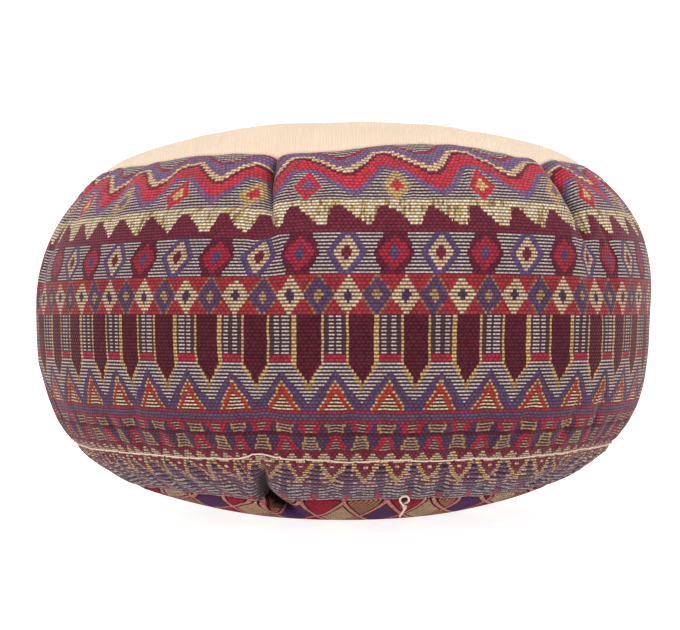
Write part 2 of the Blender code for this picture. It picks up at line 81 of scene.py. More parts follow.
# ============================================================ node building
class Net:
    """Builds shader nodes from expressions. Values are sockets or plain numbers."""

    def __init__(self, name):
        self.mat = bpy.data.materials.new(name)
        self.mat.use_nodes = True
        self.t = self.mat.node_tree
        self.bsdf = self.t.nodes["Principled BSDF"]
        self.out = self.t.nodes["Material Output"]
        self.n = 0

    def node(self, kind):
        node = self.t.nodes.new(kind)
        node.location = (-300 + (self.n % 40) * 8, -(self.n // 40) * 40)
        self.n += 1
        return node

    def put(self, socket, value):
        if isinstance(value, bpy.types.NodeSocket):
            self.t.links.new(value, socket)
        elif isinstance(value, tuple) and len(value) == 4 and len(socket.default_value) == 3:
            socket.default_value = value[:3]
        else:
            socket.default_value = value

    def m(self, op, a, b=None, c=None):
        nd = self.node("ShaderNodeMath")
        nd.operation = op
        self.put(nd.inputs[0], a)
        if b is not None:
            self.put(nd.inputs[1], b)
        if c is not None:
            self.put(nd.inputs[2], c)
        return nd.outputs[0]

    def add(self, a, b): return self.m("ADD", a, b)
    def sub(self, a, b): return self.m("SUBTRACT", a, b)
    def mul(self, a, b): return self.m("MULTIPLY", a, b)
    def div(self, a, b): return self.m("DIVIDE", a, b)
    def mad(self, a, b, c): return self.m("MULTIPLY_ADD", a, b, c)
    def lt(self, a, b): return self.m("LESS_THAN", a, b)
    def gt(self, a, b): return self.m("GREATER_THAN", a, b)
    def mn(self, a, b): return self.m("MINIMUM", a, b)
    def mx(self, a, b): return self.m("MAXIMUM", a, b)
    def ab(self, a): return self.m("ABSOLUTE", a)
    def fl(self, a): return self.m("FLOOR", a)
    def fr(self, a): return self.m("FRACT", a)
    def pp(self, a, p): return self.m("PINGPONG", a, p)

    def clamp(self, a, lo=0.0, hi=1.0):
        return self.mn(self.mx(a, lo), hi)

    def remap(self, a, lo, hi):
        nd = self.node("ShaderNodeMapRange")
        nd.clamp = True
        self.put(nd.inputs["Value"], a)
        nd.inputs["From Min"].default_value = lo
        nd.inputs["From Max"].default_value = hi
        return nd.outputs["Result"]

    def mix(self, fac, a, b):
        """Colour a where fac is 0, b where it is 1."""
        nd = self.node("ShaderNodeMix")
        nd.data_type = "RGBA"
        nd.clamp_factor = True
        self.put(nd.inputs[0], fac)
        self.put(nd.inputs[6], a)
        self.put(nd.inputs[7], b)
        return nd.outputs[2]

    def mixf(self, fac, a, b):
        nd = self.node("ShaderNodeMix")
        nd.data_type = "FLOAT"
        self.put(nd.inputs[0], fac)
        self.put(nd.inputs[2], a)
        self.put(nd.inputs[3], b)
        return nd.outputs[0]

    def scale(self, colour, k):
        nd = self.node("ShaderNodeVectorMath")
        nd.operation = "SCALE"
        self.put(nd.inputs[0], colour)
        self.put(nd.inputs[3], k)
        return nd.outputs[0]

    def ramp(self, fac, stops, smooth=False):
        """Stops are (position, colour, how lined it is)."""
        nd = self.node("ShaderNodeValToRGB")
        cr = nd.color_ramp
        cr.interpolation = "LINEAR" if smooth else "CONSTANT"
        while len(cr.elements) > 1:
            cr.elements.remove(cr.elements[-1])
        for i, stop in enumerate(stops):
            e = cr.elements[0] if i == 0 else cr.elements.new(stop[0])
            e.position = stop[0]
            c = stop[1]
            e.color = (c[0], c[1], c[2], stop[2] if len(stop) > 2 else 1.0)
        self.put(nd.inputs[0], fac)
        return nd.outputs["Color"], nd.outputs["Alpha"]

    def attr(self, name):
        nd = self.node("ShaderNodeAttribute")
        nd.attribute_name = name
        return nd.outputs["Vector"]

    def xyz(self, v):
        nd = self.node("ShaderNodeSeparateXYZ")
        self.put(nd.inputs[0], v)
        return nd.outputs[0], nd.outputs[1], nd.outputs[2]

    def vec(self, x, y, z=0.0):
        nd = self.node("ShaderNodeCombineXYZ")
        self.put(nd.inputs[0], x)
        self.put(nd.inputs[1], y)
        self.put(nd.inputs[2], z)
        return nd.outputs[0]

    def white(self, v):
        nd = self.node("ShaderNodeTexWhiteNoise")
        nd.noise_dimensions = "2D"
        self.put(nd.inputs["Vector"], v)
        return nd.outputs["Value"]

    def noise(self, v, scale, detail=2.0, rough=0.5):
        nd = self.node("ShaderNodeTexNoise")
        self.put(nd.inputs["Vector"], v)
        nd.inputs["Scale"].default_value = scale
        nd.inputs["Detail"].default_value = detail
        nd.inputs["Roughness"].default_value = rough
        return nd.outputs["Fac"]

    def objco(self):
        return self.node("ShaderNodeTexCoord").outputs["Object"]

    def bump(self, height, strength, distance, normal=None):
        nd = self.node("ShaderNodeBump")
        nd.inputs["Strength"].default_value = strength
        nd.inputs["Distance"].default_value = distance
        self.put(nd.inputs["Height"], height)
        if normal is not None:
            self.put(nd.inputs["Normal"], normal)
        return nd.outputs["Normal"]

    def finish(self, colour, rough=0.9, normal=None, metallic=0.0, sheen=0.0, spec=0.3, sheen_rough=0.5, sheen_tint=None):
        b = self.bsdf
        self.put(b.inputs["Base Color"], colour)
        self.put(b.inputs["Roughness"], rough)
        b.inputs["Metallic"].default_value = metallic
        b.inputs["Specular IOR Level"].default_value = spec
        b.inputs["Sheen Weight"].default_value = sheen
        b.inputs["Sheen Roughness"].default_value = sheen_rough
        if sheen_tint:
            b.inputs["Sheen Tint"].default_value = sheen_tint
        if normal is not None:
            self.put(b.inputs["Normal"], normal)
        return self.mat


# ---- yarn colours
WHITE = srgb(198, 182, 178)
BLACK = srgb(52, 34, 38)
CREAM = srgb(226, 196, 156)
GOLD = srgb(190, 150, 92)
GOLDEN = srgb(216, 178, 116)
RED = srgb(202, 58, 73)
REDC = srgb(162, 42, 60)
BRICK = srgb(156, 50, 56)
MAROON = srgb(114, 42, 58)
MAROON2 = srgb(86, 29, 42)
PURPLE = srgb(90, 66, 96)
PURPLE_HI = srgb(126, 98, 136)
BLUE = srgb(76, 54, 80)
DARKBLUE = srgb(90, 70, 104)
TAN = srgb(166, 134, 110)
PINKLINE = srgb(190, 150, 136)
DARKBROWN = srgb(84, 60, 62)
SOLID, LINED = 1.0, 0.0

RIB = 2.0
FLOAT_LEN = 2.756


def weave_fields(g, u, v):
    """Where a point lies in its rib and in its float, with every second rib shifted half a float."""
    row = g.fl(g.div(v, RIB))
    fv = g.fr(g.div(v, RIB))
    shift = g.mul(g.fr(g.mul(row, 0.5)), 1.0)
    fu = g.fr(g.add(g.div(u, FLOAT_LEN), shift))
    across = g.ab(g.mad(fv, 2.0, -1.0))  # 0 on the crest, 1 between ribs
    along = g.ab(g.mad(fu, 2.0, -1.0))
    return row, across, along


def weave_finish(g, colour, lined, u, v, row, across, along, uq, vq, gap=BLACK):
    """Turns a flat pattern colour into yarn: painted shade that darkens each rib from its crest to the gaps between
    ribs and to the ends of its floats, and yarn to yarn variation.
    """
    crest = g.m("SUBTRACT", 1.0, g.mul(across, across))
    floats = g.m("SUBTRACT", 1.0, g.mul(g.m("POWER", along, 3.0), 0.8))
    body = g.mul(crest, floats)
    # painted shade: the colour is darkened towards the gaps between ribs and the ends of the floats
    shade = g.mad(body, 0.72, 0.30)
    jitter = g.white(g.vec(uq, vq))
    fleck = g.noise(g.vec(u, v), 0.9, 2.0)
    vary = g.mad(jitter, 0.42, g.mad(fleck, 0.5, 0.52))
    blotch = g.noise(g.vec(u, v), 0.035, 2.0)
    vary = g.mul(vary, g.mad(blotch, 0.35, 0.83))
    stray = g.mad(g.gt(jitter, 0.90), 0.42, 0.08)
    solid_col = g.mix(stray, g.scale(colour, g.mul(shade, vary)), g.scale(gap, vary))
    line = g.mul(g.remap(g.mad(fleck, 0.35, across), 0.74, 0.26), g.mad(floats, 0.62, 0.34))
    line_col = g.mix(line, gap, g.scale(colour, vary))
    return g.mix(lined, line_col, solid_col), body


def cloudy(g, u, v):
    return g.noise(g.vec(u, g.mul(v, 0.4)), 0.12, 1.0)


def kilim_material():
    g = Net("band_jacquard")
    u, v, painted_fold_shade = g.xyz(g.attr("cloth"))
    row, across, along = weave_fields(g, u, v)
    # pattern cells: half a float wide, one rib tall, a little softened by wandering threads
    wob = g.noise(g.vec(u, v), 0.11, 1.0)
    us = g.mad(wob, 1.2, g.sub(u, 0.6))
    uq = g.mul(g.add(g.fl(g.div(us, FLOAT_LEN / 2)), 0.5), FLOAT_LEN / 2)
    vq = g.mul(g.add(row, 0.5), RIB)
    P24, P48, P42, P63, P126, PD = 52.36, 26.18, 29.92, 19.95, 9.973, 32.0
    UB = 10.1

    # --- L: fine lines with purple shadows, and small red tips at the seam
    k = g.pp(g.sub(uq, 13.6), P63 / 2)  # 0 at the tips of the gold V above
    kk = g.m("SUBTRACT", P63 / 2, k)
    tip = g.lt(g.add(kk, g.mul(g.ab(g.sub(vq, 99.0)), 0.42)), 2.6)
    streak = g.noise(g.vec(uq, g.mul(vq, 0.45)), 0.22, 2.0)
    dusk = g.gt(streak, 0.58)
    even = g.gt(g.fr(g.mul(row, 0.5)), 0.25)
    col = g.mix(even, BLACK, srgb(168, 154, 154))
    col = g.mix(dusk, col, g.mix(even, srgb(66, 48, 66), srgb(112, 90, 114)))
    patch = g.mul(g.lt(kk, g.mad(streak, 6.4, -0.4)), g.gt(vq, 101.5))
    col = g.mix(patch, col, g.mix(even, srgb(44, 32, 48), srgb(112, 84, 112)))
    lined = 1.0
    col = g.mix(tip, col, REDC)

    # --- K: gold V zigzag over dotted ground
    side = g.sub(g.sub(vq, 119.5), g.mul(k, 2.15))  # above the arm line
    arm = g.lt(g.ab(side), 3.2)
    inside = g.gt(side, 3.2)
    kc = g.mix(even, srgb(80, 46, 62), g.mix(g.gt(streak, 0.53), srgb(196, 160, 150), srgb(118, 80, 98)))
    kc = g.mix(g.mul(patch, g.lt(side, -3.2)), kc, g.mix(even, srgb(54, 36, 52), srgb(120, 88, 110)))
    kc = g.mix(inside, kc, MAROON)
    kc = g.mix(g.mul(g.gt(side, 10.5), g.m("SUBTRACT", 1.0, even)), kc, srgb(206, 168, 142))
    kc = g.mix(arm, kc, GOLDEN)
    kl = g.mixf(arm, 0.92, 0.25)
    z = g.gt(vq, g.mad(g.m("SINE", g.mul(u, 0.31)), 1.1, 113.4))
    col = g.mix(z, col, kc)
    lined = g.mixf(z, lined, kl)

    # --- J: maroon stripe with small cream stepped teeth
    j = g.pp(g.sub(uq, 8.3), P126 / 2)
    step = g.lt(j, g.ramp(g.remap(vq, 138.0, 146.0), [(0.0, (4.0,) * 3), (0.32, (2.9,) * 3), (0.57, (1.5,) * 3), (0.82, (0, 0, 0))])[0])
    jc = g.mix(step, srgb(112, 36, 52), srgb(206, 178, 140))
    z = g.gt(vq, 138.2)
    col = g.mix(z, col, jc)
    lined = g.mixf(z, lined, g.mad(step, -0.7, 1.0))

    # --- shared 42-repeat fields: e is the distance from a pencil's centre line, c from the middle between two
    e = g.pp(g.sub(uq, UB), P42 / 2)
    c = g.m("SUBTRACT", P42 / 2, e)

    # --- I: red arches between gold-lined trapezoids, on purple
    h = g.sub(vq, 146.0)
    arch = g.add(c, g.mul(h, 0.42))
    ic, il = g.ramp(g.mul(arch, 0.05), [(0.0, TAN, LINED), (0.175, REDC, SOLID), (0.345, BLUE, SOLID)])
    trap = g.add(e, g.mul(h, 0.30))
    t_in = g.lt(trap, 5.9)
    t_edge = g.mul(t_in, g.gt(trap, 4.3))
    ic = g.mix(t_in, ic, TAN)
    il = g.mixf(t_in, il, 0.0)
    ic = g.mix(t_edge, ic, srgb(172, 136, 88))
    il = g.mixf(t_edge, il, 0.8)
    low = g.lt(g.ab(g.sub(vq, 156.6)), 1.1)
    ic = g.mix(low, ic, MAROON2)
    il = g.mx(il, low)
    z = g.gt(vq, 146.1)
    col = g.mix(z, col, ic)
    lined = g.mixf(z, lined, il)

    # --- H: red U shapes under the pencils, gold-lined trapezoids between
    h = g.m("SUBTRACT", 165.3, vq)
    cup = g.add(e, g.mul(h, 0.34))
    hc, hl = g.ramp(g.mul(cup, 0.05), [(0.0, TAN, LINED), (0.19, REDC, SOLID), (0.36, BLUE, SOLID)])
    trap = g.add(c, g.mul(h, 0.26))
    t_in = g.lt(trap, 6.2)
    t_edge = g.mul(t_in, g.gt(trap, 4.6))
    hc = g.mix(t_in, hc, TAN)
    hl = g.mixf(t_in, hl, 0.0)
    hc = g.mix(t_edge, hc, srgb(172, 136, 88))
    hl = g.mixf(t_edge, hl, 0.8)
    foot = g.lt(vq, 158.4)
    hc = g.mix(foot, hc, BLUE)
    hl = g.mx(hl, foot)
    z = g.gt(vq, 157.2)
    col = g.mix(z, col, hc)
    lined = g.mixf(z, lined, hl)

    # --- G: three stripes
    gc, gl = g.ramp(
        g.remap(vq, 165.0, 173.0),
        [(0.0, srgb(138, 46, 62), SOLID), (0.125, srgb(100, 66, 88), SOLID), (0.375, srgb(94, 76, 96), SOLID), (0.62, srgb(138, 46, 62), SOLID)],
    )
    z = g.gt(vq, 164.0)
    col = g.mix(z, col, gc)
    lined = g.mixf(z, lined, gl)

    # --- F: purple zigzag, with red and cream triangles under its peaks
    q = g.sub(g.mad(c, 1.78, vq), 190.4)
    fc, fl_ = g.ramp(
        g.remap(q, -14.0, 6.0),
        [(0.0, CREAM, LINED), (0.43, srgb(168, 58, 46), SOLID), (0.60, GOLDEN, 0.35), (0.71, PURPLE, SOLID)],
    )
    inner = g.gt(g.mad(c, 1.55, vq), 182.4)
    fc = g.mix(g.mul(inner, g.lt(q, -5.4)), fc, srgb(168, 58, 46))
    fl_ = g.mx(fl_, g.mul(inner, g.lt(q, -5.4)))
    p = g.gt(g.mad(c, 1.263, vq), 195.4)
    fc = g.mix(p, fc, WHITE)
    fl_ = g.mixf(p, fl_, 0.0)
    spark = g.mul(g.mul(p, g.lt(e, 1.6)), g.gt(vq, 183.0))
    fc = g.mix(spark, fc, GOLD)
    fl_ = g.mixf(spark, fl_, 0.35)
    z = g.gt(vq, 171.6)
    col = g.mix(z, col, fc)
    lined = g.mixf(z, lined, fl_)

    # --- E: maroon pencils with gold edges, dark dotted columns between
    w = g.mul(g.remap(vq, 187.6, 199.0), 6.9)
    d = g.sub(e, w)
    pencil = g.lt(d, 0.0)
    gold = g.mul(g.gt(d, 0.0), g.lt(d, 1.9))
    ec, el = g.ramp(
        g.mul(c, 0.1),
        [(0.0, DARKBROWN, LINED), (0.10, WHITE, LINED), (0.40, DARKBROWN, LINED)],
    )
    bar = g.lt(g.ab(g.sub(vq, 202.2)), 2.2)
    ec = g.mix(bar, ec, REDC)
    el = g.mx(el, bar)
    lines = g.lt(vq, 200.4)
    ec = g.mix(lines, ec, WHITE)
    el = g.mixf(lines, el, 0.0)
    inside = g.gt(vq, 195.0)
    ec = g.mix(gold, ec, GOLDEN)
    el = g.mixf(gold, el, 0.45)
    ec = g.mix(pencil, ec, MAROON2)
    el = g.mx(el, pencil)
    use = g.mx(inside, g.mul(g.gt(vq, 188.0), g.lt(d, 2.2)))
    col = g.mix(use, col, ec)
    lined = g.mixf(use, lined, el)

    # --- D: red ground, cream-lined and purple diamonds in turn
    b = g.pp(g.sub(uq, 2.0), PD / 2)
    dd = g.mn(b, g.m("SUBTRACT", PD / 2, b))
    dv = g.ab(g.sub(vq, 236.5))
    f = g.mad(dv, 1.0 / 11.0, g.mul(dd, 1.0 / 8.6))
    core = g.mad(dv, 1.0 / 4.2, g.mul(dd, 1.0 / 2.9))
    level = g.add(g.lt(f, 1.0), g.add(g.lt(f, 1.14), g.lt(core, 1.0)))
    level = g.mad(g.gt(b, PD / 4), 4.0, level)
    dc, dl = g.ramp(
        g.mul(g.add(level, 0.5), 0.125),
        [
            (0.0, BRICK, SOLID), (0.125, BRICK, SOLID), (0.25, CREAM, 0.32), (0.375, BLUE, SOLID),
            (0.5, BRICK, SOLID), (0.625, srgb(164, 118, 80), 0.7), (0.75, PURPLE, SOLID), (0.875, GOLD, 0.4),
        ],
    )
    z = g.gt(vq, 226.2)
    col = g.mix(z, col, dc)
    lined = g.mixf(z, lined, dl)

    # --- C: black and white lines, with red and cream diamonds in turn
    a = g.pp(uq, P24 / 2)
    da = g.mn(a, g.m("SUBTRACT", P24 / 2, a))
    dv = g.ab(g.sub(vq, 260.0))
    isred = g.gt(a, P24 / 4)
    f_out = g.mad(dv, g.mixf(isred, 0.058, 0.0413), g.mul(da, g.mixf(isred, 1 / 11.2, 1 / 11.4)))
    f_in = g.mad(dv, 1 / 10.8, g.mul(da, g.mixf(isred, 1 / 7.9, 1 / 9.2)))
    f_core = g.mad(dv, 1 / 4.6, g.mul(da, 1 / 3.6))
    level = g.add(g.lt(f_out, 1.0), g.add(g.lt(f_in, 1.0), g.lt(f_core, 1.0)))
    level = g.mad(isred, 4.0, level)
    cc, cl = g.ramp(
        g.mul(g.add(level, 0.5), 0.125),
        [
            (0.0, WHITE, LINED), (0.125, srgb(96, 76, 112), SOLID), (0.25, CREAM, 0.35), (0.375, MAROON, SOLID),
            (0.5, WHITE, LINED), (0.625, srgb(98, 36, 52), SOLID), (0.75, REDC, SOLID), (0.875, DARKBLUE, SOLID),
        ],
    )
    z = g.gt(vq, 247.4)
    col = g.mix(z, col, cc)
    lined = g.mixf(z, lined, cl)

    # --- B: maroon mountains on a cream and gold lined ground
    bb = g.pp(g.mad(g.sub(vq, 273.5), 0.48, uq), P48 / 2)  # each mountain's left side is the steeper
    uneven = g.mad(g.noise(g.vec(u, g.mul(v, 0.6)), 0.075, 1.0), 7.0, -3.5)
    tooth = g.mx(g.lt(g.add(bb, uneven), g.mad(g.m("SUBTRACT", 289.6, vq), 0.80, g.mad(g.gt(vq, 288.4), -30.0, 0.9))), g.lt(vq, 276.8))
    dash = g.white(g.vec(g.fl(g.div(u, 1.378)), g.fl(g.div(vq, 6.0))))
    bc, _ = g.ramp(g.mad(cloudy(g, u, v), 0.5, g.mul(dash, 0.5)), [(0.0, srgb(246, 226, 190)), (0.50, srgb(226, 196, 130)), (0.58, srgb(176, 142, 92)), (0.64, srgb(244, 222, 184))])
    bc = g.mix(tooth, bc, MAROON)
    z = g.gt(vq, 272.6)
    col = g.mix(z, col, bc)
    lined = g.mixf(z, lined, g.mx(tooth, 0.42))

    # --- A: rolling zigzag over a lined ground, with diamonds under its peaks
    lean = g.mad(g.sub(vq, 302.0), 0.33, g.sub(us, P24 / 2))
    wave = g.m("COSINE", g.mul(lean, 2 * math.pi / P24))
    crest = g.mad(g.pp(lean, P24 / 2), -4.0 / P24, 1.0)
    wave = g.mn(g.mad(wave, 0.55, g.mul(crest, 0.60)), 0.82)
    low = g.mad(wave, 10.0, 303.3)
    t = g.div(g.sub(vq, low), g.mad(wave, -3.0, 25.5))
    t = g.mad(wave, 0.05, t)
    tcol, tl = g.ramp(
        g.mad(t, 0.8, 0.1),
        [
            (0.0, WHITE, LINED), (0.12, PURPLE_HI, SOLID), (0.245, RED, SOLID), (0.475, MAROON, SOLID),
            (0.55, srgb(236, 202, 154), 0.7), (0.665, PURPLE_HI, SOLID), (0.86, REDC, SOLID), (0.92, WHITE, LINED),
        ],
    )
    under = g.lt(t, 0.02)
    dA = g.m("SUBTRACT", P24 / 2, a)
    dv = g.ab(g.sub(vq, 301.5))
    f_in = g.mad(dv, 1 / 10.6, g.mul(dA, 1 / 8.7))
    f_core = g.mad(dv, 1 / 4.9, g.mul(dA, 1 / 4.0))
    hearts, _ = g.ramp(
        g.fr(g.div(g.add(g.fl(g.div(uq, P24)), 0.5), 6.0)),
        [(0.0, RED), (1 / 6, GOLDEN), (2 / 6, PURPLE_HI), (3 / 6, GOLDEN), (4 / 6, RED), (5 / 6, PURPLE_HI)],
    )
    alt = g.lt(g.pp(g.sub(uq, P24 / 2), P24), P24 / 2)
    level = g.add(g.lt(f_in, 1.2), g.add(g.lt(f_in, 1.0), g.lt(f_core, 1.0)))
    level = g.mad(alt, 4.0, level)
    ac, al = g.ramp(
        g.mul(g.add(level, 0.5), 0.125),
        [
            (0.0, WHITE, LINED), (0.125, WHITE, 0.3), (0.25, RED, SOLID), (0.375, BLUE, SOLID),
            (0.5, WHITE, LINED), (0.625, WHITE, 0.2), (0.75, GOLDEN, 0.6), (0.875, RED, SOLID),
        ],
    )
    ac = g.mix(g.lt(f_core, 1.0), ac, hearts)
    tcol = g.mix(under, tcol, ac)
    tl = g.mixf(under, tl, al)
    z = g.gt(vq, 292.4)
    col = g.mix(z, col, tcol)
    lined = g.mixf(z, lined, tl)

    colour, body = weave_finish(g, col, lined, u, v, row, across, along, uq, vq)
    fuzz = g.noise(g.vec(u, v), 2.2, 2.0)
    colour = g.scale(colour, g.m("SUBTRACT", 1.0, painted_fold_shade))  # painted shade held in the folds
    height = g.mad(fuzz, 0.35, body)
    normal = g.bump(height, 0.75, 0.0006)
    return g.finish(colour, g.mad(fuzz, 0.12, 0.86), normal, sheen=0.30, spec=0.10, sheen_rough=0.28, sheen_tint=srgb(236, 200, 204))


def canvas_material():
    g = Net("top_canvas")
    x, y, z = g.xyz(g.attr("cloth"))
    rib = g.m("SINE", g.mul(x, 2 * math.pi / 1.8))
    slub = g.noise(g.vec(g.mul(x, 0.55), g.mul(y, 0.02)), 1.0, 2.0)
    weft = g.m("SINE", g.mul(y, 2 * math.pi / 0.95))
    blotch = g.noise(g.vec(x, y), 0.02, 3.0)
    grain = g.noise(g.vec(x, y), 1.4, 2.0)
    k = g.mad(rib, 0.035, g.mad(slub, 0.16, g.mad(blotch, 0.10, g.mad(grain, 0.20, 0.77))))
    colour = g.scale(srgb(220, 196, 172), k)
    height = g.mad(rib, 0.5, g.mad(weft, 0.22, g.mad(slub, 0.9, g.mul(grain, 0.5))))
    normal = g.bump(height, 0.55, 0.0004)
    return g.finish(colour, g.mad(grain, 0.1, 0.85), normal, sheen=0.15, spec=0.2, sheen_rough=0.5)


def base_material():
    g = Net("base_jacquard")
    x, y, painted_fold_shade = g.xyz(g.attr("cloth"))
    row, across, along = weave_fields(g, x, y)
    uq = g.mul(g.add(g.fl(g.div(x, FLOAT_LEN / 2)), 0.5), FLOAT_LEN / 2)
    vq = g.mul(g.add(row, 0.5), RIB)
    P = 26.0
    ys = g.add(y, 12.2)
    xs = g.mad(ys, 0.089, g.sub(x, 1.8))
    s1 = g.div(g.mad(ys, 0.311, xs), P)
    s2 = g.div(g.mad(ys, -0.311, xs), P)
    near = g.mul(g.mn(g.pp(s1, 0.5), g.pp(s2, 0.5)), P)
    i, j = g.fl(s1), g.fl(s2)
    odd = g.gt(g.fr(g.mul(g.sub(i, j), 0.5)), 0.25)
    turn = g.gt(g.fr(g.mul(g.fl(g.mul(g.add(g.add(i, j), 0.5), 0.5)), 0.5)), 0.25)
    hatch = g.gt(g.m("SINE", g.mul(g.add(x, g.mul(y, 0.8)), 2 * math.pi / 3.2)), 0.1)
    tan = g.mix(hatch, srgb(172, 124, 92), srgb(124, 70, 58))
    pale = g.mix(hatch, srgb(206, 176, 142), srgb(150, 108, 80))
    down = g.mix(turn, srgb(156, 32, 50), tan)
    up = g.mix(turn, srgb(84, 44, 90), pale)
    col = g.mix(odd, up, down)
    col = g.mix(g.lt(near, 2.6), col, srgb(98, 18, 36))
    col = g.mix(g.lt(near, 1.2), col, srgb(204, 138, 126))
    colour, body = weave_finish(g, col, 1.0, x, y, row, across, along, uq, vq)
    fuzz = g.noise(g.vec(x, y), 2.2, 2.0)
    normal = g.bump(g.mad(fuzz, 0.35, body), 0.7, 0.0005)
    # painted shade: the colour is darkened in the pinched folds
    colour = g.scale(colour, g.m("SUBTRACT", 1.0, painted_fold_shade))
    return g.finish(colour, 0.9, normal, sheen=0.0, spec=0.06)


def thread_material(name, colour, twist=1.4, dark=0.72):
    """Spun thread: fine diagonal plies, a little fuzz."""
    g = Net(name)
    co = g.objco()
    x, y, z = g.xyz(co)
    n1 = g.noise(co, 900.0, 3.0)
    ply = g.m("SINE", g.mul(g.add(g.add(x, g.mul(z, twist)), g.mul(y, 0.6)), 2 * math.pi / 0.0011))
    k = g.mad(ply, 0.09, g.mad(n1, 0.22, 0.84))
    col = g.mix(g.mul(g.gt(n1, 0.62), 0.5), g.scale(colour, k), g.scale(colour, dark))
    normal = g.bump(g.mad(ply, 0.6, n1), 0.6, 0.0003)
    return g.finish(col, g.mad(n1, 0.15, 0.75), normal, sheen=0.2, spec=0.25)


def cloth_material(name, colour, pitch, contrast=0.12, rough=0.9):
    """Plain weave in object space, for calico, tapes and labels."""
    g = Net(name)
    co = g.objco()
    x, y, z = g.xyz(co)
    k = 2 * math.pi / pitch
    wx = g.m("SINE", g.mul(g.add(x, z), k))
    wy = g.m("SINE", g.mul(g.add(y, z), k))
    w = g.mul(wx, wy)
    n1 = g.noise(co, 60.0, 4.0)
    col = g.scale(colour, g.mad(w, contrast, g.mad(n1, 0.25, 0.86)))
    normal = g.bump(g.mad(n1, 0.5, w), 0.4, 0.0003)
    return g.finish(col, g.mad(n1, 0.08, rough - 0.05), normal, sheen=0.1, spec=0.2)


def metal_material():
    g = Net("aged_metal")
    co = g.objco()
    n1 = g.noise(co, 700.0, 4.0)
    n2 = g.noise(co, 180.0, 2.0)
    col = g.mix(g.remap(n2, 0.35, 0.7), srgb(120, 108, 88), srgb(82, 74, 62))
    normal = g.bump(n1, 0.25, 0.0002)
    return g.finish(g.scale(col, g.mad(n1, 0.3, 0.85)), g.mad(n2, 0.3, 0.28), normal, metallic=1.0, spec=0.5)


def nylon_material():
    g = Net("coil_nylon")
    co = g.objco()
    n1 = g.noise(co, 400.0, 2.0)
    col = g.scale(srgb(84, 36, 46), g.mad(n1, 0.3, 0.85))
    return g.finish(col, g.mad(n1, 0.2, 0.3), g.bump(n1, 0.15, 0.0001), spec=0.5)


def fibre_material():
    g = Net("polyester_fibre")
    co = g.objco()
    n1 = g.noise(co, 240.0, 6.0, 0.7)
    n2 = g.noise(co, 26.0, 3.0)
    col = g.scale(srgb(240, 240, 238), g.mad(n1, 0.25, g.mad(n2, 0.15, 0.68)))
    return g.finish(col, 0.97, g.bump(g.mad(n2, 2.0, n1), 0.8, 0.0015), sheen=0.3, spec=0.1)


MAT = {
    "band": kilim_material(),
    "canvas": canvas_material(),
    "base": base_material(),
    "natural": thread_material("natural_thread", srgb(232, 204, 188)),
    "sewing": thread_material("sewing_thread", srgb(96, 34, 46)),
    "tape": cloth_material("zip_tape_weave", srgb(86, 40, 50), 0.0009),
    "metal": metal_material(),
    "nylon": nylon_material(),
    "calico": cloth_material("calico_weave", srgb(222, 214, 198), 0.0010, 0.08, 0.95),
    "fibre": fibre_material(),
    "label": cloth_material("label_satin", srgb(232, 228, 220), 0.0006, 0.05, 0.6),
}

# ============================================================ the cover's surface
REST_RADIUS, MAX_RADIUS, HEIGHT = 49.4, 200.0, 254.4
STATIONS = [
    (REST_RADIUS, 0.0), (94.2, 6.4), (111.9, 11.2), (147.6, 25.3), (176.5, 47.7), (197.0, 92.8), (MAX_RADIUS, 125.5),
    (195.1, 172.1), (169.4, 214.7), (108.0, 243.5), (60.0, 250.7), (0.0, HEIGHT),
]
BASE_SEAM, HEM_STITCH, TOP_SEAM = 90.4, 138.1, 332.6


def clamped_spline(points, samples):
    p = np.array(points, float)
    t = np.concatenate([[0.0], np.cumsum(np.hypot(*np.diff(p, axis=0).T))])
    n = len(p)
    h = np.diff(t)
    a = np.zeros((n, n))
    b = np.zeros((n, 2))
    a[0, 0] = a[-1, -1] = 1.0
    b[0] = (1.0, 0.0)
    b[-1] = (-1.0, 0.0)
    for i in range(1, n - 1):
        a[i, i - 1], a[i, i], a[i, i + 1] = h[i], 2.0 * (h[i - 1] + h[i]), h[i - 1]
        b[i] = 3.0 * (h[i] * (p[i] - p[i - 1]) / h[i - 1] + h[i - 1] * (p[i + 1] - p[i]) / h[i])
    m = np.linalg.solve(a, b)
    out = []
    for tt in np.linspace(0.0, t[-1], samples):
        i = min(max(int(np.searchsorted(t, tt, side="right")) - 1, 0), n - 2)
        x = (tt - t[i]) / h[i]
        out.append(
            (2 * x**3 - 3 * x**2 + 1) * p[i] + (x**3 - 2 * x**2 + x) * h[i] * m[i]
            + (-2 * x**3 + 3 * x**2) * p[i + 1] + (x**3 - x**2) * h[i] * m[i + 1]
        )
    return np.array(out)


CURVE = clamped_spline(STATIONS, 3000)
ARC = np.concatenate([[0.0], np.cumsum(np.hypot(*np.diff(CURVE, axis=0).T))])
CROWN = float(ARC[-1])
SLOPE = np.unwrap(np.arctan2(np.gradient(CURVE[:, 1]), np.gradient(CURVE[:, 0])))


def base_rz(s):
    """Radius, height and slope at arc length s; s below 0 runs in over the resting patch."""
    s = np.asarray(s, float)
    r = np.interp(s, ARC, CURVE[:, 0])
    z = np.interp(s, ARC, CURVE[:, 1])
    th = np.interp(s, ARC, SLOPE)
    flat = s < 0
    r = np.where(flat, np.maximum(REST_RADIUS + s, 0.0), r)
    z = np.where(flat, 0.0, z)
    th = np.where(flat, 0.0, th)
    return r, z, th


def sstep(x, a, b):
    t = np.clip((np.asarray(x, float) - a) / (b - a), 0.0, 1.0)
    return t * t * (3 - 2 * t)


def wrap(d):
    return (d + 180.0) % 360.0 - 180.0


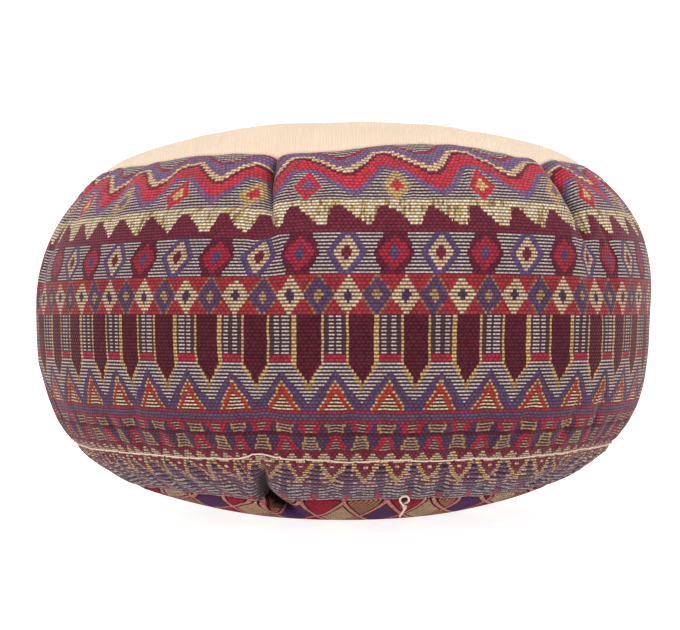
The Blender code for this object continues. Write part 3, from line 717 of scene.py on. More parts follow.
# angles are degrees from the front, positive to the right; a tuck swallows cloth, more towards the seam
TUCKS = [
    # angle at the seam, lean (degrees lower down), swallow at seam (mm), depth (mm), how far down it reaches (mm), share of shift on its left
    dict(a=-15.4, lean=3.6, swallow=23.0, depth=13.0, reach=76.0, left=0.95, tilt=-0.35),
    dict(a=45.2, lean=2.2, swallow=23.6, depth=17.0, reach=84.0, left=0.4, tilt=0.6, open=2.3, steep=1.5),
    dict(a=-69.0, lean=-3.0, swallow=16.0, depth=5.0, reach=80.0, left=0.5, tilt=0.2),
    dict(a=108.0, lean=4.0, swallow=16.0, depth=5.4, reach=82.0, left=0.5, tilt=-0.4),
    dict(a=-128.0, lean=-4.0, swallow=16.0, depth=6.0, reach=86.0, left=0.5, tilt=0.4),
    dict(a=163.0, lean=-2.0, swallow=15.0, depth=5.2, reach=78.0, left=0.5, tilt=-0.3),
]
PINCHES = [
    dict(a=-19.4, lean=3.8, depth=19.0, reach=50.0),
    dict(a=55.0, lean=-3.0, depth=2.6, reach=46.0),
    dict(a=-74.0, lean=-4.0, depth=5.0, reach=56.0),
    dict(a=104.0, lean=3.0, depth=1.8, reach=46.0),
    dict(a=-131.0, lean=3.0, depth=5.4, reach=52.0),
    dict(a=166.0, lean=-3.0, depth=4.0, reach=48.0),
]


def ripple(theta, seed, waves, low, high):
    rng = np.random.RandomState(seed)
    out = np.zeros_like(theta)
    for _ in range(waves):
        k = rng.randint(low, high)
        out += np.sin(np.radians(theta) * k + rng.uniform(0, 2 * math.pi)) * rng.uniform(0.5, 1.0)
    return out / math.sqrt(waves)


def fold_terms(theta, s, wide=1.0):
    """Depth of the folds (along the normal, and straight in), and the cloth coordinate they take, at theta and arc length s."""
    inward = np.zeros_like(theta)
    straight = np.zeros_like(theta)
    extra = np.zeros_like(theta)
    r, _, _ = base_rz(s)
    for k in TUCKS:
        down = (TOP_SEAM - s) / k["reach"]
        centre = k["a"] + k["lean"] * sstep(down, 0.05, 1.0)
        x = np.radians(wrap(theta - centre)) * r
        fade = np.clip(1.0 - down, 0.0, 1.0) ** 1.15 * np.exp(-np.maximum(s - TOP_SEAM, 0.0) / 7.0)
        shut = 0.34 + 0.66 * sstep(TOP_SEAM - s, 0.0, 16.0)
        depth = k["depth"] * fade * shut
        width = (2.6 + 3.4 * np.clip(down, 0, 1)) * np.where(x > 0.0, k.get("open", 1.0), 1.0)
        inward += depth * np.exp(-((np.abs(x) / width) ** k.get("steep", 0.9))) * np.where(down < 1.0, 1.0, 0.0)
        inward += 2.6 * np.clip(1.0 - down, 0.0, 1.0) * np.exp(-np.maximum(s - TOP_SEAM, 0.0) / 16.0) * np.maximum(shut, sstep(s, TOP_SEAM, TOP_SEAM + 8.0)) * np.exp(-((x / 15.0) ** 2))
        inward -= 1.5 * fade * shut * (np.exp(-(((x - 14.0) / 8.0) ** 2)) + 0.8 * np.exp(-(((x + 14.0) / 8.0) ** 2)))
        high = np.tanh(x / 1.2) * np.exp(-np.abs(x) / 9.0) * k["tilt"]
        inward += 0.42 * k["depth"] * fade * shut * high
        g = k["swallow"] * np.clip(1.0 - down, 0.0, 1.0) ** 1.1
        step = np.clip((x + 2.4 * np.sign(k["a"]) * (abs(k["a"]) > 30)) / (2 * 2.2) + 0.5, 0.0, 1.0)
        step = step * step * (3 - 2 * step)
        extra += g * (step - k["left"]) * slack(theta, centre, k)
    for k in PINCHES:
        up = (s - BASE_SEAM) / k["reach"]
        centre = k["a"] + k["lean"] * sstep(up, 0.05, 1.0) + 2.0 * sstep(BASE_SEAM - s, 0.0, 34.0) * (k["a"] < 0)
        x = np.radians(wrap(theta - centre)) * r
        fade = 1.0 - np.clip(up, 0.0, 1.0) ** 1.8
        below = sstep(s, BASE_SEAM - 60.0, BASE_SEAM)
        depth = k["depth"] * fade * below
        width = 3.3 + 0.5 * np.clip(up, 0, 1)
        straight += depth * np.exp(-((np.abs(x) / width / wide) ** 2.0))
        right = 0.5 + 0.5 * np.tanh(x / 1.2)
        inward += 0.24 * k["depth"] * fade * below * right * np.exp(-((x / 14.0) ** 2))
        inward -= 0.10 * k["depth"] * fade * below * (right * np.exp(-(((x - 16.0) / 8.0) ** 2)) + (1.0 - right) * np.exp(-(((x + 6.0) / 8.0) ** 2)))
    return inward, straight, extra


GATHER = sorted(k["a"] for k in PINCHES)


def gathered(theta, s):
    """Towards the base the cloth hangs in nearly parallel columns between the pinches, which take up the rest."""
    a = np.array([GATHER[-1] - 360.0, *GATHER, GATHER[0] + 360.0])
    i = np.clip(np.searchsorted(a, theta, side="right") - 1, 0, len(a) - 2)
    mid = a[i] + (a[i + 1] - a[i]) * np.where(np.abs(a[i] + 19.4) < 1.0, 0.30, 0.5)
    r, _, _ = base_rz(s)
    snug = np.interp(s, [140.0, 200.0], [0.925, 1.0])
    away = np.radians(theta - mid) * np.minimum(r / snug - 200.0, 0.0) * (s < 205.0)
    # bridge the jump over the width of the crease
    edge = np.minimum(theta - a[i], a[i + 1] - theta)
    return away * np.clip(0.12 + np.radians(edge) * r / 2.6, 0.0, 1.0)


def slack(theta, centre, k):
    """The shift that a fold gives the pattern dies away round the cushion, so that the two ends still meet."""
    d = np.abs(wrap(theta - centre))
    return 1.0 - sstep(d, 55.0, 150.0)


def warp(theta):
    """The strip is a little crowded to the left and right of the front."""
    return -4.2 * np.exp(-(((theta + 62.0) / 26.0) ** 2)) - 1.5 * np.exp(-(((theta - 44.0) / 13.0) ** 2))


def surface(theta, s, depth, wide=1.0):
    """World position in mm of the cloth at angle theta, arc length s, depth below the outside."""
    theta, s, depth = np.broadcast_arrays(np.asarray(theta, float), np.asarray(s, float), np.asarray(depth, float))
    climb = 7.0 * sstep(theta, 45.0, 57.0) * (1.0 - sstep(theta, 100.0, 145.0)) - 4.0 * sstep(-theta, 66.0, 88.0) * (1.0 - sstep(-theta, 100.0, 140.0))
    climb = climb + 13.5 * sstep(theta, -9.0, 15.0) * (1.0 - sstep(theta, 19.0, 41.0))
    r, z, th = base_rz(s + climb * sstep(s, 296.0, TOP_SEAM) * (1.0 - sstep(s, TOP_SEAM + 8.0, TOP_SEAM + 60.0)))
    inward, straight, extra = fold_terms(theta, s, wide)
    # eased cloth ripples along both seams, broad lumps of filling everywhere else
    near_top = np.exp(-np.abs(TOP_SEAM - s) / 13.0)
    near_base = np.exp(-np.abs(s - BASE_SEAM) / 15.0)
    bump = 0.55 * near_top * ripple(theta, 3, 6, 34, 75) + 0.60 * near_base * ripple(theta, 5, 6, 30, 66)
    bump += 0.9 * ripple(theta + 0.05 * s, 11, 4, 2, 7) * sstep(s, 20.0, 110.0) * sstep(CROWN - s, 20.0, 110.0)
    bump += 0.35 * ripple(theta - 0.11 * s, 17, 5, 9, 21) * sstep(s, 40.0, 130.0)
    hem = 0.55 * np.exp(-(((s - HEM_STITCH) / 2.4) ** 2)) * (s > BASE_SEAM)
    groove = 0.8 * np.exp(-(((s - TOP_SEAM) / 2.8) ** 2)) + 0.9 * np.exp(-(((s - BASE_SEAM) / 2.6) ** 2))
    inward = inward - bump * 0.9 + hem + groove
    extra = extra + gathered(theta, s)
    d = depth + inward
    rr = np.maximum(r - d * np.sin(th), 0.0)
    zz = z + d * np.cos(th) + 0.12 * straight
    ang = np.radians(theta)
    # the stuffed form leans a little to the right at the top
    lean = 4.4 * sstep(zz, 120.0, 254.0)
    # pinches run towards the axis, the one at the front more nearly straight back
    push = np.where(np.abs(theta + 20.0) < 13.0, 0.15, 1.0) * ang
    x = rr * np.sin(ang) - straight * np.sin(push) + lean
    y = -rr * np.cos(ang) + straight * np.cos(push)
    # the top seam runs a touch unevenly
    zz = zz + 0.9 * np.exp(-(((s - TOP_SEAM) / 26.0) ** 2)) * ripple(theta, 23, 4, 3, 11)
    zz = np.where(s > 40.0, np.maximum(zz, 0.6), zz)
    return x, y, zz, extra


def grid_mesh(name, x, y, z, u, v, closed_u, mat, cap=None, dark=None):
    """A quad grid, rows by columns, with the cloth coordinate and any painted fold shade stored on its points."""
    rows, cols = x.shape
    verts = np.stack([x, y, z], -1).reshape(-1, 3) * MM
    faces = []
    last = cols if closed_u else cols - 1
    i = np.arange(rows - 1)[:, None]
    j = np.arange(last)[None, :]
    j2 = (j + 1) % cols
    quads = np.stack([i * cols + j, i * cols + j2, (i + 1) * cols + j2, (i + 1) * cols + j], -1).reshape(-1, 4)
    faces = quads.tolist()
    cloth = np.stack([u, v, np.zeros_like(u) if dark is None else dark], -1).reshape(-1, 3)
    if cap is not None:  # a fan to one middle point, on the first or last row
        which, cx, cy, cz, cu, cv = cap
        verts = np.vstack([verts, np.array([[cx, cy, cz]]) * MM])
        cloth = np.vstack([cloth, [[cu, cv, 0.0]]])
        centre = len(verts) - 1
        base = 0 if which == "first" else (rows - 1) * cols
        for k in range(cols):
            a, b = base + k, base + (k + 1) % cols
            faces.append([centre, b, a] if which == "first" else [centre, a, b])
    mesh = bpy.data.meshes.new(name)
    mesh.from_pydata(verts.tolist(), [], faces)
    at = mesh.attributes.new("cloth", "FLOAT_VECTOR", "POINT")
    at.data.foreach_set("vector", cloth.astype(np.float32).ravel())
    mesh.polygons.foreach_set("use_smooth", [True] * len(mesh.polygons))
    mesh.materials.append(mat)
    mesh.update()
    return link(bpy.data.objects.new(name, mesh))


def solidify(obj, thickness, rim=True):
    m = obj.modifiers.new("thickness", "SOLIDIFY")
    m.thickness = thickness * MM
    m.offset = 0.0
    m.use_even_offset = False
    m.use_rim = rim
    m.use_quality_normals = True


def columns(edges_at, start, end, coarse, fine, reach):
    """Angles from start to end: fine steps near the given angles, coarse elsewhere."""
    out = [start]
    while out[-1] < end - 1e-6:
        d = min(abs(wrap(out[-1] - e)) for e in edges_at)
        step = fine if d < reach else min(coarse, fine + (d - reach) * 0.25)
        out.append(out[-1] + step)
    k = (end - start) / (out[-1] - start)
    return np.array([start + (o - start) * k for o in out])


def rows_between(s0, s1, step):
    n = max(1, int(round(abs(s1 - s0) / step)))
    return list(np.linspace(s0, s1, n + 1))


def hold(TH, S, seams):
    """How firmly each point is held while the cloth is inflated: stitched seams and folds stay put."""
    inward, straight, _ = fold_terms(TH, S)
    w = sstep(np.abs(inward) + straight, 0.5, 2.4)
    for s_at, reach in seams:
        w = np.maximum(w, 1.0 - sstep(np.abs(S - s_at), reach * 0.35, reach))
    return w.ravel()


def inflate(obj, pin, grow, shape, cap=2.4, swell=0.9, frames=20, pressure=4.0):
    """Cloth pushed out from inside against its seams. What it does all round evenly is kept small, its creases are kept."""
    sim = link(bpy.data.objects.new(obj.name + "_sim", obj.data.copy()))
    group = sim.vertex_groups.new(name="held")
    n = len(sim.data.vertices)
    pin = np.concatenate([pin, np.zeros(n - len(pin))]) if len(pin) < n else pin
    level = np.round(pin * 10).astype(int)
    for k in range(1, 11):
        idx = np.nonzero(level == k)[0].tolist()
        if idx:
            group.add(idx, k / 10.0, "REPLACE")
    m = sim.modifiers.new("cloth", "CLOTH")
    st = m.settings
    st.quality = 5
    st.mass = 0.3
    st.air_damping = 3.0
    st.tension_stiffness = st.compression_stiffness = 14.0
    st.shear_stiffness = 6.0
    st.bending_stiffness = 0.12
    st.use_pressure = True
    st.uniform_pressure_force = pressure
    st.shrink_min = -grow
    st.vertex_group_mass = "held"
    st.effector_weights.gravity = 0.0
    m.collision_settings.use_collision = False
    m.collision_settings.use_self_collision = False
    m.point_cache.frame_start, m.point_cache.frame_end = 1, frames
    for f in range(1, frames + 1):
        scene.frame_set(f)
    ev = sim.evaluated_get(bpy.context.evaluated_depsgraph_get())
    new = np.empty(n * 3, np.float32)
    ev.data.vertices.foreach_get("co", new)
    new = new.reshape(-1, 3)
    old = np.empty(n * 3, np.float32)
    nor = np.empty(n * 3, np.float32)
    obj.data.vertices.foreach_get("co", old)
    obj.data.vertices.foreach_get("normal", nor)
    old, nor = old.reshape(-1, 3), nor.reshape(-1, 3)
    centre = np.array([0.0, 0.0, 0.125], np.float32)
    nor *= np.sign((nor * (old - centre)).sum(1, keepdims=True) + 1e-9)
    d = new - old
    dn = (d * nor).sum(1)
    tangent = d - dn[:, None] * nor
    tl = np.linalg.norm(tangent, axis=1, keepdims=True) + 1e-9
    rows, cols = shape
    grid = dn[: rows * cols].reshape(rows, cols)
    loose = (1.0 - pin[: rows * cols]).reshape(rows, cols)
    even = (grid * loose).sum(1) / (loose.sum(1) + 1e-6)
    print(obj.name, "moved mm: rows", np.round(even[:: max(1, rows // 12)] * 1000, 1), "spread", round(float(np.sqrt((((grid - even[:, None]) * loose) ** 2).mean()) * 1000), 2), "along", round(float(tl.max() * 1000), 1))
    rest = grid - even[:, None]
    grid = cap * MM * np.tanh(rest / (cap * MM)) + (swell * MM * np.tanh(even / (4.0 * MM)))[:, None]
    dn = np.concatenate([grid.ravel(), np.full(n - rows * cols, grid[-1].mean())])
    free = (1.0 - pin)[:, None]
    out = old + (dn[:, None] * nor + tangent * np.minimum(1.0, 1.2 * MM / tl)) * free
    obj.data.vertices.foreach_set("co", out.astype(np.float32).ravel())
    obj.data.update()
    scene.frame_set(1)
    mesh = sim.data
    bpy.data.objects.remove(sim)
    bpy.data.meshes.remove(mesh)


fold_angles = [k["a"] for k in TUCKS] + [k["a"] for k in PINCHES]

# ============================================================ side band
JOIN = 180.0
SLOT = 0.8


def band_columns():
    th = columns(fold_angles, -JOIN + 0.28, JOIN - 0.28, 1.15, 0.28, 1.4)
    return th


def follow_folds(th0, s):
    """Lets the mesh's columns run along the slanting folds."""
    th = np.repeat(th0[None, :], len(s), 0)
    ss = s[:, None]
    for k in TUCKS:
        down = (TOP_SEAM - ss) / k["reach"]
        th = th + k["lean"] * sstep(down, 0.05, 1.0) * sstep(ss, 150.0, 250.0) * np.exp(-((wrap(th0[None, :] - k["a"]) / 7.0) ** 2))
    for k in PINCHES:
        up = (ss - BASE_SEAM) / k["reach"]
        th = th + k["lean"] * sstep(up, 0.05, 1.0) * (1 - sstep(ss, 140.0, 240.0)) * np.exp(-((wrap(th0[None, :] - k["a"]) / 7.0) ** 2))
    return th


mid_s, mid_d = [], []


def run(points):
    for s, d in points:
        mid_s.append(s)
        mid_d.append(d)


half = 0.7
low, high = BASE_SEAM + SLOT, TOP_SEAM - 0.35
fold = 1.0
run([(s, half + 2 * fold) for s in rows_between(BASE_SEAM + 36.0, low + half + fold, 6.0)])
run([(low + half + fold - (fold + 0.35) * math.sin(a), half + fold + fold * math.cos(a)) for a in (0.5, 1.05, 1.57, 2.1, 2.64)])
run([(s, half) for s in rows_between(low + half + fold, low + 12.0, 1.6)])
run([(s, half) for s in rows_between(low + 14.2, 150.0, 2.6)])
run([(s, half) for s in rows_between(153.4, 250.0, 3.5)])
run([(s, half) for s in rows_between(253.2, high - 14.0, 3.0)])
run([(s, half) for s in rows_between(high - 12.2, high - half - fold, 1.6)])
run([(high - half - fold + (fold + 0.35) * math.sin(a), half + fold - fold * math.cos(a)) for a in (0.5, 1.05, 1.57, 2.1, 2.64)])
run([(s, half + 2 * fold) for s in rows_between(high - half - fold, high - 11.0, 4.0)])
mid_s, mid_d = np.array(mid_s), np.array(mid_d)

th0 = band_columns()
TH = follow_folds(th0, mid_s)
S = np.repeat(mid_s[:, None], len(th0), 1)
Dp = np.repeat(mid_d[:, None], len(th0), 1)
X, Y, Z, EX = surface(TH, S, Dp)
U = (TH + warp(TH)) * (math.pi / 180.0) * 200.0 + EX
# left of the first tuck the strip's rows sit a little lower
column = np.repeat(th0[None, :], len(mid_s), 0)
sag = np.interp(column, [-105.0, -72.0, -48.0, -38.0, -28.0], [0.0, 0.8, 1.0, 0.85, 0.62])
across_fold = sstep(S, 258.0, 278.0)
past = sstep(-column, 15.2 - 3.8 * (1.0 - across_fold), 15.6 + 4.4 * (1.0 - across_fold))
close = sstep(column, -40.0, -22.0)
V = S + 7.0 * sag * past * sstep(S, 222.0, 292.0) * (1.0 - (0.4 + 0.1 * close) * sstep(S, 292.0, 332.0))
V = V + 2.6 * sstep(column, -9.0, 15.0) * (1.0 - sstep(column, 19.0, 41.0)) * sstep(S, 300.0, 332.0)
moved = past * (1.0 - sstep(-column, 64.0, 92.0))
U = U - moved * (2.2 * sstep(S, 240.0, 262.0) + 4.6 * sstep(S, 284.0, 290.0))
inward, straight, _ = fold_terms(TH, S)
# painted shade: the band's colour is darkened where the tucks and pinches press in
dark = 0.80 * sstep(inward, 2.5, 9.5) + 0.93 * sstep(straight, 4.0, 12.0)
band = grid_mesh("cover_band", X, Y, Z, U, V, False, MAT["band"], dark=np.clip(dark, 0.0, 0.92))
inflate(band, hold(TH, S, ((TOP_SEAM, 12.0), (BASE_SEAM, 14.0), (HEM_STITCH, 5.0))), 0.02, S.shape)
solidify(band, 2 * half)
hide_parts("side_band")
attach(band, "cushion")

# ============================================================ top panel
half_t = 0.5
s_list = [TOP_SEAM - 10.0, TOP_SEAM - 5.0, TOP_SEAM - 1.6, TOP_SEAM - 0.2, TOP_SEAM + 0.35, TOP_SEAM + 0.55, TOP_SEAM + 0.95, TOP_SEAM + 1.7]
d_list = [4.6, 4.6, 4.3, 3.4, 2.3, 1.4, 0.8, 0.55]
s_list += rows_between(TOP_SEAM + 2.8, TOP_SEAM + 24.0, 2.0) + rows_between(TOP_SEAM + 27.5, CROWN - 6.0, 4.0)
d_list += [half_t] * (len(s_list) - len(d_list))
ts, td = np.array(s_list), np.array(d_list)
tc = np.linspace(-180.0, 180.0, 361)[:-1]
TH = np.repeat(tc[None, :], len(ts), 0)
S = np.repeat(ts[:, None], len(tc), 1)
Dp = np.repeat(td[:, None], len(tc), 1)


def top_surface(TH, S, Dp):
    """The canvas feels the tucks only as a slight dent beside the seam."""
    x, y, z, _ = surface(TH, S, Dp)
    return x, y, z


X, Y, Z = top_surface(TH, S, Dp)
flat_r = (CROWN - S)
CU = flat_r * np.sin(np.radians(TH))
CV = -flat_r * np.cos(np.radians(TH))
apex = surface(np.array([0.0]), np.array([CROWN]), np.array([half_t]))
top = grid_mesh("cover_top", X, Y, Z, CU, CV, True, MAT["canvas"], cap=("last", float(apex[0][0]), float(apex[1][0]), float(apex[2][0]), 0.0, 0.0))
inflate(top, hold(TH, S, ((TOP_SEAM, 12.0),)), 0.008, S.shape, 1.6, 0.0)
solidify(top, 2 * half_t)
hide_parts("top_panel")
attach(top, "cushion")

# ============================================================ bottom panel
half_b = 0.6
edge = BASE_SEAM - SLOT
s_list = [edge - 12.0, edge - 7.0, edge - half_b - 0.85]
d_list = [half_b + 1.7] * 3
for a in (0.5, 1.05, 1.57, 2.1, 2.64):
    s_list.append(edge - half_b - 0.85 + (0.85 + 0.35) * math.sin(a))
    d_list.append(half_b + 0.85 + 0.85 * math.cos(a))
more = rows_between(edge - half_b - 0.85, edge - 16.0, 1.8) + rows_between(edge - 19.0, 2.0, 4.0) + rows_between(-1.5, -REST_RADIUS + 6.0, 6.0)
s_list += more
d_list += [half_b] * len(more)
bs, bd = np.array(s_list), np.array(d_list)
bc = columns([k["a"] for k in PINCHES], -180.0, 180.0, 1.5, 0.4, 1.4)[:-1]
TH = np.repeat(bc[None, :], len(bs), 0)
S = np.repeat(bs[:, None], len(bc), 1)
Dp = np.repeat(bd[:, None], len(bc), 1)
X, Y, Z, _ = surface(TH, S, Dp)
flat_r = REST_RADIUS + S
CU = flat_r * np.sin(np.radians(TH))
CV = -flat_r * np.cos(np.radians(TH))
X, Y, Z, CU, CV = (a[:, ::-1] for a in (X, Y, Z, CU, CV))
# painted shade: the base cloth's colour is darkened where the pinches press in
dark = 0.92 * sstep(fold_terms(TH, S)[1], 5.0, 13.0)[:, ::-1]
bottom = grid_mesh("cover_base", X, Y, Z, CU, CV, True, MAT["base"], dark=dark, cap=("last", 0.0, 0.0, half_b, 0.0, 0.0))
solidify(bottom, 2 * half_b)
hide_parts("bottom_panel")
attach(bottom, "cushion")


# ============================================================ threads
def tube_object(name, splines, radius, mat, resolution=2, cyclic=False):
    curve = bpy.data.curves.new(name, "CURVE")
    curve.dimensions = "3D"
    curve.bevel_depth = radius * MM
    curve.bevel_resolution = resolution
    curve.use_fill_caps = True
    for pts in splines:
        sp = curve.splines.new("POLY")
        sp.points.add(len(pts) - 1)
        sp.points.foreach_set("co", np.concatenate([np.asarray(pts) * MM, np.ones((len(pts), 1))], 1).ravel())
        sp.use_cyclic_u = cyclic
        sp.use_smooth = True
    curve.materials.append(mat)
    return link(bpy.data.objects.new(name, curve))


def on_surface(theta, s, out):
    """Points standing `out` mm proud of the cloth."""
    x, y, z, _ = surface(np.asarray(theta, float), np.asarray(s, float), -np.asarray(out, float))
    return np.stack([x, y, z], -1)


# row of long hand stitches in natural thread, near the base of the band
rng = np.random.RandomState(41)
splines = []
theta = -180.0
r_hem = float(base_rz(HEM_STITCH)[0])
line = lambda t: HEM_STITCH + 0.9 * ripple(np.asarray(t, float), 29, 5, 5, 26) + 6.0 * np.exp(-((wrap(np.asarray(t, float) + 15.3) / 3.6) ** 2)) + 2.6 * np.exp(-((wrap(np.asarray(t, float) + 77) / 3.0) ** 2)) + 1.6 * np.exp(-((wrap(np.asarray(t, float) - 53) / 3.0) ** 2))
while theta < 180.0 - 1.0:
    span = math.degrees(rng.uniform(11.0, 19.0) / r_hem)
    span = min(span, 180.0 - theta)
    n = 15
    tt = np.linspace(0, 1, n)
    th = theta + tt * span
    rise = np.clip(np.minimum(tt, 1 - tt) * 12.0, 0, 1)
    lift = 0.5 * rise - 0.35 * (1 - rise)
    drift = rng.uniform(-0.28, 0.28) * np.sin(tt * math.pi)
    splines.append(on_surface(th, line(th) + drift, lift))
    theta += span + math.degrees(0.1 / r_hem)
hem = tube_object("hem_stitches", splines, 0.45, MAT["natural"])
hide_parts("hem_stitching")
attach(hem, "cushion")


def seam_stitches(name, s_at, depth, node, a0, a1, radius=0.3, pitch=3.0, mat=None):
    out = []
    r0 = float(base_rz(s_at)[0])
    n = int(math.radians(a1 - a0) * r0 / pitch)
    for i in range(n):
        t0 = a0 + (a1 - a0) * i / n
        span = (a1 - a0) / n * 0.86
        tt = np.linspace(0, 1, 4)
        x, y, z, _ = surface(t0 + tt * span, s_at + np.zeros(4), depth - 0.35 * np.sin(tt * math.pi))
        out.append(np.stack([x, y, z], -1))
    obj = tube_object(name, out, radius, mat or MAT["sewing"], 1)
    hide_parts(node)
    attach(obj, "cushion")
    return obj


seam_stitches("top_seam_stitches", TOP_SEAM + 0.0, 2.0, "top_seam_thread", -180.0, 180.0)
seam_stitches("base_seam_stitches", BASE_SEAM, 2.0, "base_seam_thread", -218.0, 6.0)

# the join at the back of the band, ladder-stitched
out = []
for s0 in np.arange(BASE_SEAM + 4.0, TOP_SEAM - 5.0, 3.4):
    t0 = np.array([179.55, 179.8, 180.2, 180.45])
    pts = on_surface(t0, np.full(4, s0) + np.array([-0.3, -0.1, 0.1, 0.3]), np.array([-0.9, 0.12, 0.12, -0.9]))
    out.append(pts)
join = tube_object("band_join_stitches", out, 0.28, MAT["sewing"], 1)
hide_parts("band_join_thread")
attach(join, "cushion")

# ============================================================ pull thread on the zip slider
SLIDER_ANGLE = 284.8
seam_r, seam_z, seam_th = (float(v) for v in base_rz(BASE_SEAM))
spin = math.radians(SLIDER_ANGLE)
radial = np.array([math.cos(spin), math.sin(spin), 0.0])
along_v = np.array([-math.sin(spin), math.cos(spin), 0.0])
up_cloth = radial * math.cos(seam_th) + np.array([0, 0, 1.0]) * math.sin(seam_th)
outward = radial * math.sin(seam_th) - np.array([0, 0, 1.0]) * math.cos(seam_th)
seam_point = radial * seam_r + np.array([0, 0, seam_z])
PULL_ROUTE = [
    (0.2, -1.6, 1.9),
    (0.0, 0.0, 1.9),
    (0.6, 2.2, 1.9),
    (1.3, 4.8, 1.9),
    (1.0, 7.6, 1.5),
    (-0.6, 10.6, 1.0),
    (-2.4, 12.2, 0.8),
    (-3.9, 11.2, 1.0),
    (-4.6, 8.6, 1.3),
    (-3.8, 5.4, 1.8),
    (-2.2, 2.9, 2.7),
    (-0.4, 1.0, 3.8),
    (0.3, 0.0, 4.7),
    (-0.6, -1.0, 5.9),
    (-1.9, -2.0, 7.5),
    (-2.9, -2.8, 9.0),
]


def to_world(p):
    return seam_point + along_v * p[0] + up_cloth * p[1] + outward * p[2]


def smooth_route(points, spacing):
    p = [np.array(q, float) for q in points]
    p = [p[0] * 2 - p[1], *p, p[-1] * 2 - p[-2]]
    fine = []
    for i in range(1, len(p) - 2):
        for k in range(40):
            x = k / 40.0
            fine.append(0.5 * (2 * p[i] + (p[i + 1] - p[i - 1]) * x + (2 * p[i - 1] - 5 * p[i] + 4 * p[i + 1] - p[i + 2]) * x**2 + (3 * p[i] - p[i - 1] - 3 * p[i + 1] + p[i + 2]) * x**3))
    fine.append(p[-2].copy())
    fine = np.array(fine)
    acc = np.concatenate([[0], np.cumsum(np.linalg.norm(np.diff(fine, axis=0), axis=1))])
    n = max(2, int(round(acc[-1] / spacing)))
    t = np.linspace(0, acc[-1], n + 1)
    return np.stack([np.interp(t, acc, fine[:, k]) for k in range(3)], 1), float(acc[-1])


route, pull_len = smooth_route([to_world(p) for p in PULL_ROUTE], 0.8)
pull = tube_object("pull_string", [route], 0.6, MAT["natural"], 3)
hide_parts("pull_thread")
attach(pull, "slider")

# an overhand knot where the loop closes
knot_pts = []
for i in range(48):
    a = i / 47.0 * 2 * math.pi * 1.5
    knot_pts.append(to_world((
        0.1 + 0.85 * math.cos(a),
        0.1 + 0.8 * math.sin(a),
        3.3 + 0.17 * a,
    )))
knot = tube_object("pull_knot", [np.array(knot_pts)], 0.5, MAT["natural"], 3)
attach(knot, "slider")

# ============================================================ liner and filling
LINER_DEPTHS = [
    (-REST_RADIUS, 2.0), (62.0, 2.0), (75.0, 7.2), (84.0, 11.0), (97.0, 11.0), (111.0, 4.8), (147.0, 4.8), (162.0, 3.5),
    (308.0, 3.5), (318.0, 6.4), (336.0, 6.4), (348.0, 2.6), (600.0, 2.6),
]
LM, LD = [a for a, _ in LINER_DEPTHS], [b for _, b in LINER_DEPTHS]


def liner_depth(s):
    return np.interp(s, LM, LD)


def soft_shell(name, s0, s1, step, cols, extra, mat, cap=None):
    ss = np.array(rows_between(s0, s1, step))
    th = np.linspace(-180, 180, cols + 1)[:-1]
    TH = np.repeat(th[None, :], len(ss), 0)
    S = np.repeat(ss[:, None], len(th), 1)
    X, Y, Z, _ = surface(TH, S, liner_depth(S) + extra, 3.6)
    obj = grid_mesh(name, X, Y, Z, S * 0, S * 0, True, mat, cap=cap)
    return obj


e = 0.9
ap = surface(np.array([0.0]), np.array([CROWN]), np.array([2.6 + e]))
lt = soft_shell("inner_top", 300.8, CROWN - 6.0, 6.0, 180, e, MAT["calico"], cap=("last", float(ap[0][0]), float(ap[1][0]), float(ap[2][0]), 0, 0))
ls = soft_shell("inner_side", 122.8, 299.2, 6.0, 180, e, MAT["calico"])
lb = soft_shell("inner_base", -REST_RADIUS + 6.0, 121.2, 6.0, 180, e, MAT["calico"], cap=("first", 0.0, 0.0, 2.0 + e, 0, 0))
for obj, node in ((lt, "liner_top"), (ls, "liner_side"), (lb, "liner_bottom")):
    solidify(obj, 0.6)
    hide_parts(node)
    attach(obj, "cushion")
for node, s_at in (("liner_top_thread", 300.0), ("liner_base_thread", 122.0)):
    seam_stitches("inner_" + node.split("_")[1] + "_stitches", s_at, float(liner_depth(s_at)) + e, node, -180.0, 180.0, 0.3, 4.0, MAT["natural"])

ss = np.array(rows_between(-REST_RADIUS + 6.0, CROWN - 6.0, 9.0))
th = np.linspace(-180, 180, 121)[:-1]
TH = np.repeat(th[None, :], len(ss), 0)
S = np.repeat(ss[:, None], len(th), 1)
lump = 0.8 * ripple(TH + 0.3 * S, 51, 5, 5, 17)
X, Y, Z, _ = surface(TH, S, liner_depth(S) + e + 1.8 + np.abs(lump), 4.4)
fill = grid_mesh("fibre_core", X, Y, Z, S * 0, S * 0, True, MAT["fibre"], cap=("first", 0.0, 0.0, 2.0 + e + 1.8, 0, 0))
bm = bmesh.new()
bm.from_mesh(fill.data)
bm.verts.ensure_lookup_table()
rows_n, cols_n = X.shape
top_ring = [bm.verts[(rows_n - 1) * cols_n + k] for k in range(cols_n)]
ap = surface(np.array([0.0]), np.array([CROWN]), np.array([2.6 + e + 1.8]))
cv = bm.verts.new((float(ap[0][0]) * MM, float(ap[1][0]) * MM, float(ap[2][0]) * MM))
for k in range(cols_n):
    f = bm.faces.new((cv, top_ring[k], top_ring[(k + 1) % cols_n]))
    f.smooth = True
bmesh.ops.recalc_face_normals(bm, faces=bm.faces)
bm.to_mesh(fill.data)
bm.free()
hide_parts("fibre_filling")
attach(fill, "cushion")

# ============================================================ carried-over metal, tape and label nodes
for node, mat in (
    ("zip_tape_upper", "tape"), ("zip_tape_lower", "tape"), ("zip_coil_upper", "nylon"), ("zip_coil_lower", "nylon"),
    ("zip_stop_closed", "metal"), ("zip_stop_open", "metal"), ("zip_slider", "metal"), ("care_label", "label"),
):
    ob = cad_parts[node]
    ob.data.materials.clear()
    ob.data.materials.append(MAT[mat])

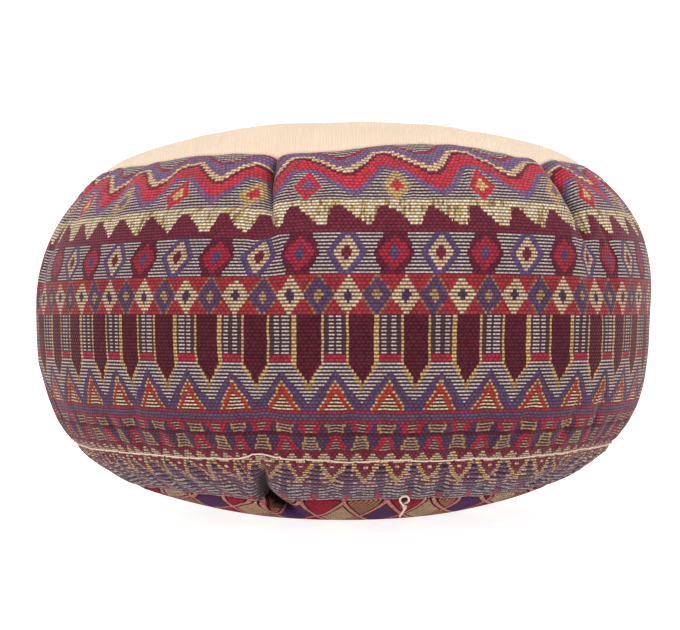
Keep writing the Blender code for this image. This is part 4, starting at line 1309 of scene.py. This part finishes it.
# ============================================================ floor, backdrop and lights
def backdrop():
    g = Net("studio_paper")
    n1 = g.noise(g.objco(), 2.0, 2.0)
    col = g.scale((0.5, 0.5, 0.5, 1.0), g.mad(n1, 0.01, 0.99))
    g.finish(col, 0.9, None, spec=0.1)
    g.bsdf.inputs["Emission Color"].default_value = (1.0, 1.0, 1.0, 1.0)
    g.bsdf.inputs["Emission Strength"].default_value = 0.86
    return g.mat


pts = [(-7.0, 0.0)] + [(3.0 + 1.6 * math.sin(a), 1.6 - 1.6 * math.cos(a)) for a in np.linspace(0, math.pi / 2, 14)] + [(4.6, 7.0)]
verts, faces = [], []
for y, z in pts:
    verts += [(-9.0, y, z), (9.0, y, z)]
for i in range(len(pts) - 1):
    faces.append((2 * i, 2 * i + 1, 2 * i + 3, 2 * i + 2))
# low paper walls on the other three sides, so that side and back views meet no sky
for x0, y0, x1, y1 in ((-9.0, -7.0, -9.0, 4.6), (9.0, -7.0, 9.0, 4.6), (-9.0, -7.0, 9.0, -7.0)):
    n = len(verts)
    verts += [(x0, y0, 0.0), (x1, y1, 0.0), (x1, y1, 2.0), (x0, y0, 2.0)]
    faces.append((n, n + 1, n + 2, n + 3))
mesh = bpy.data.meshes.new("studio_floor")
mesh.from_pydata(verts, [], faces)
mesh.polygons.foreach_set("use_smooth", [True] * len(faces))
mesh.materials.append(backdrop())
floor = link(bpy.data.objects.new("studio_floor", mesh))
floor.location.z = -0.0004


def area(name, loc, target, size, power, colour=(1, 1, 1)):
    data = bpy.data.lights.new(name, "AREA")
    data.shape = "RECTANGLE"
    data.size, data.size_y = size
    data.energy = power
    data.color = colour
    obj = link(bpy.data.objects.new(name, data))
    obj.location = loc
    d = Vector(target) - Vector(loc)
    obj.rotation_euler = d.to_track_quat("-Z", "Y").to_euler()
    return obj


area("key_overhead", (0.2, -0.9, 2.2), (0, 0, 0.12), (2.2, 1.6), 29.0, (1.0, 0.985, 0.96))
area("front_fill", (-0.4, -2.6, 0.9), (0, 0, 0.12), (2.4, 1.6), 14.5)
area("left_fill", (-2.2, -0.4, 0.9), (0, 0, 0.12), (1.4, 1.4), 6.0)
area("right_fill", (2.2, -0.4, 0.9), (0, 0, 0.12), (1.4, 1.4), 5.0)
world = bpy.data.worlds.new("studio")
scene.world = world
world.use_nodes = True
world.node_tree.nodes["Background"].inputs[0].default_value = (1.0, 1.0, 1.0, 1.0)
world.node_tree.nodes["Background"].inputs[1].default_value = 0.55

bpy.context.view_layer.update()
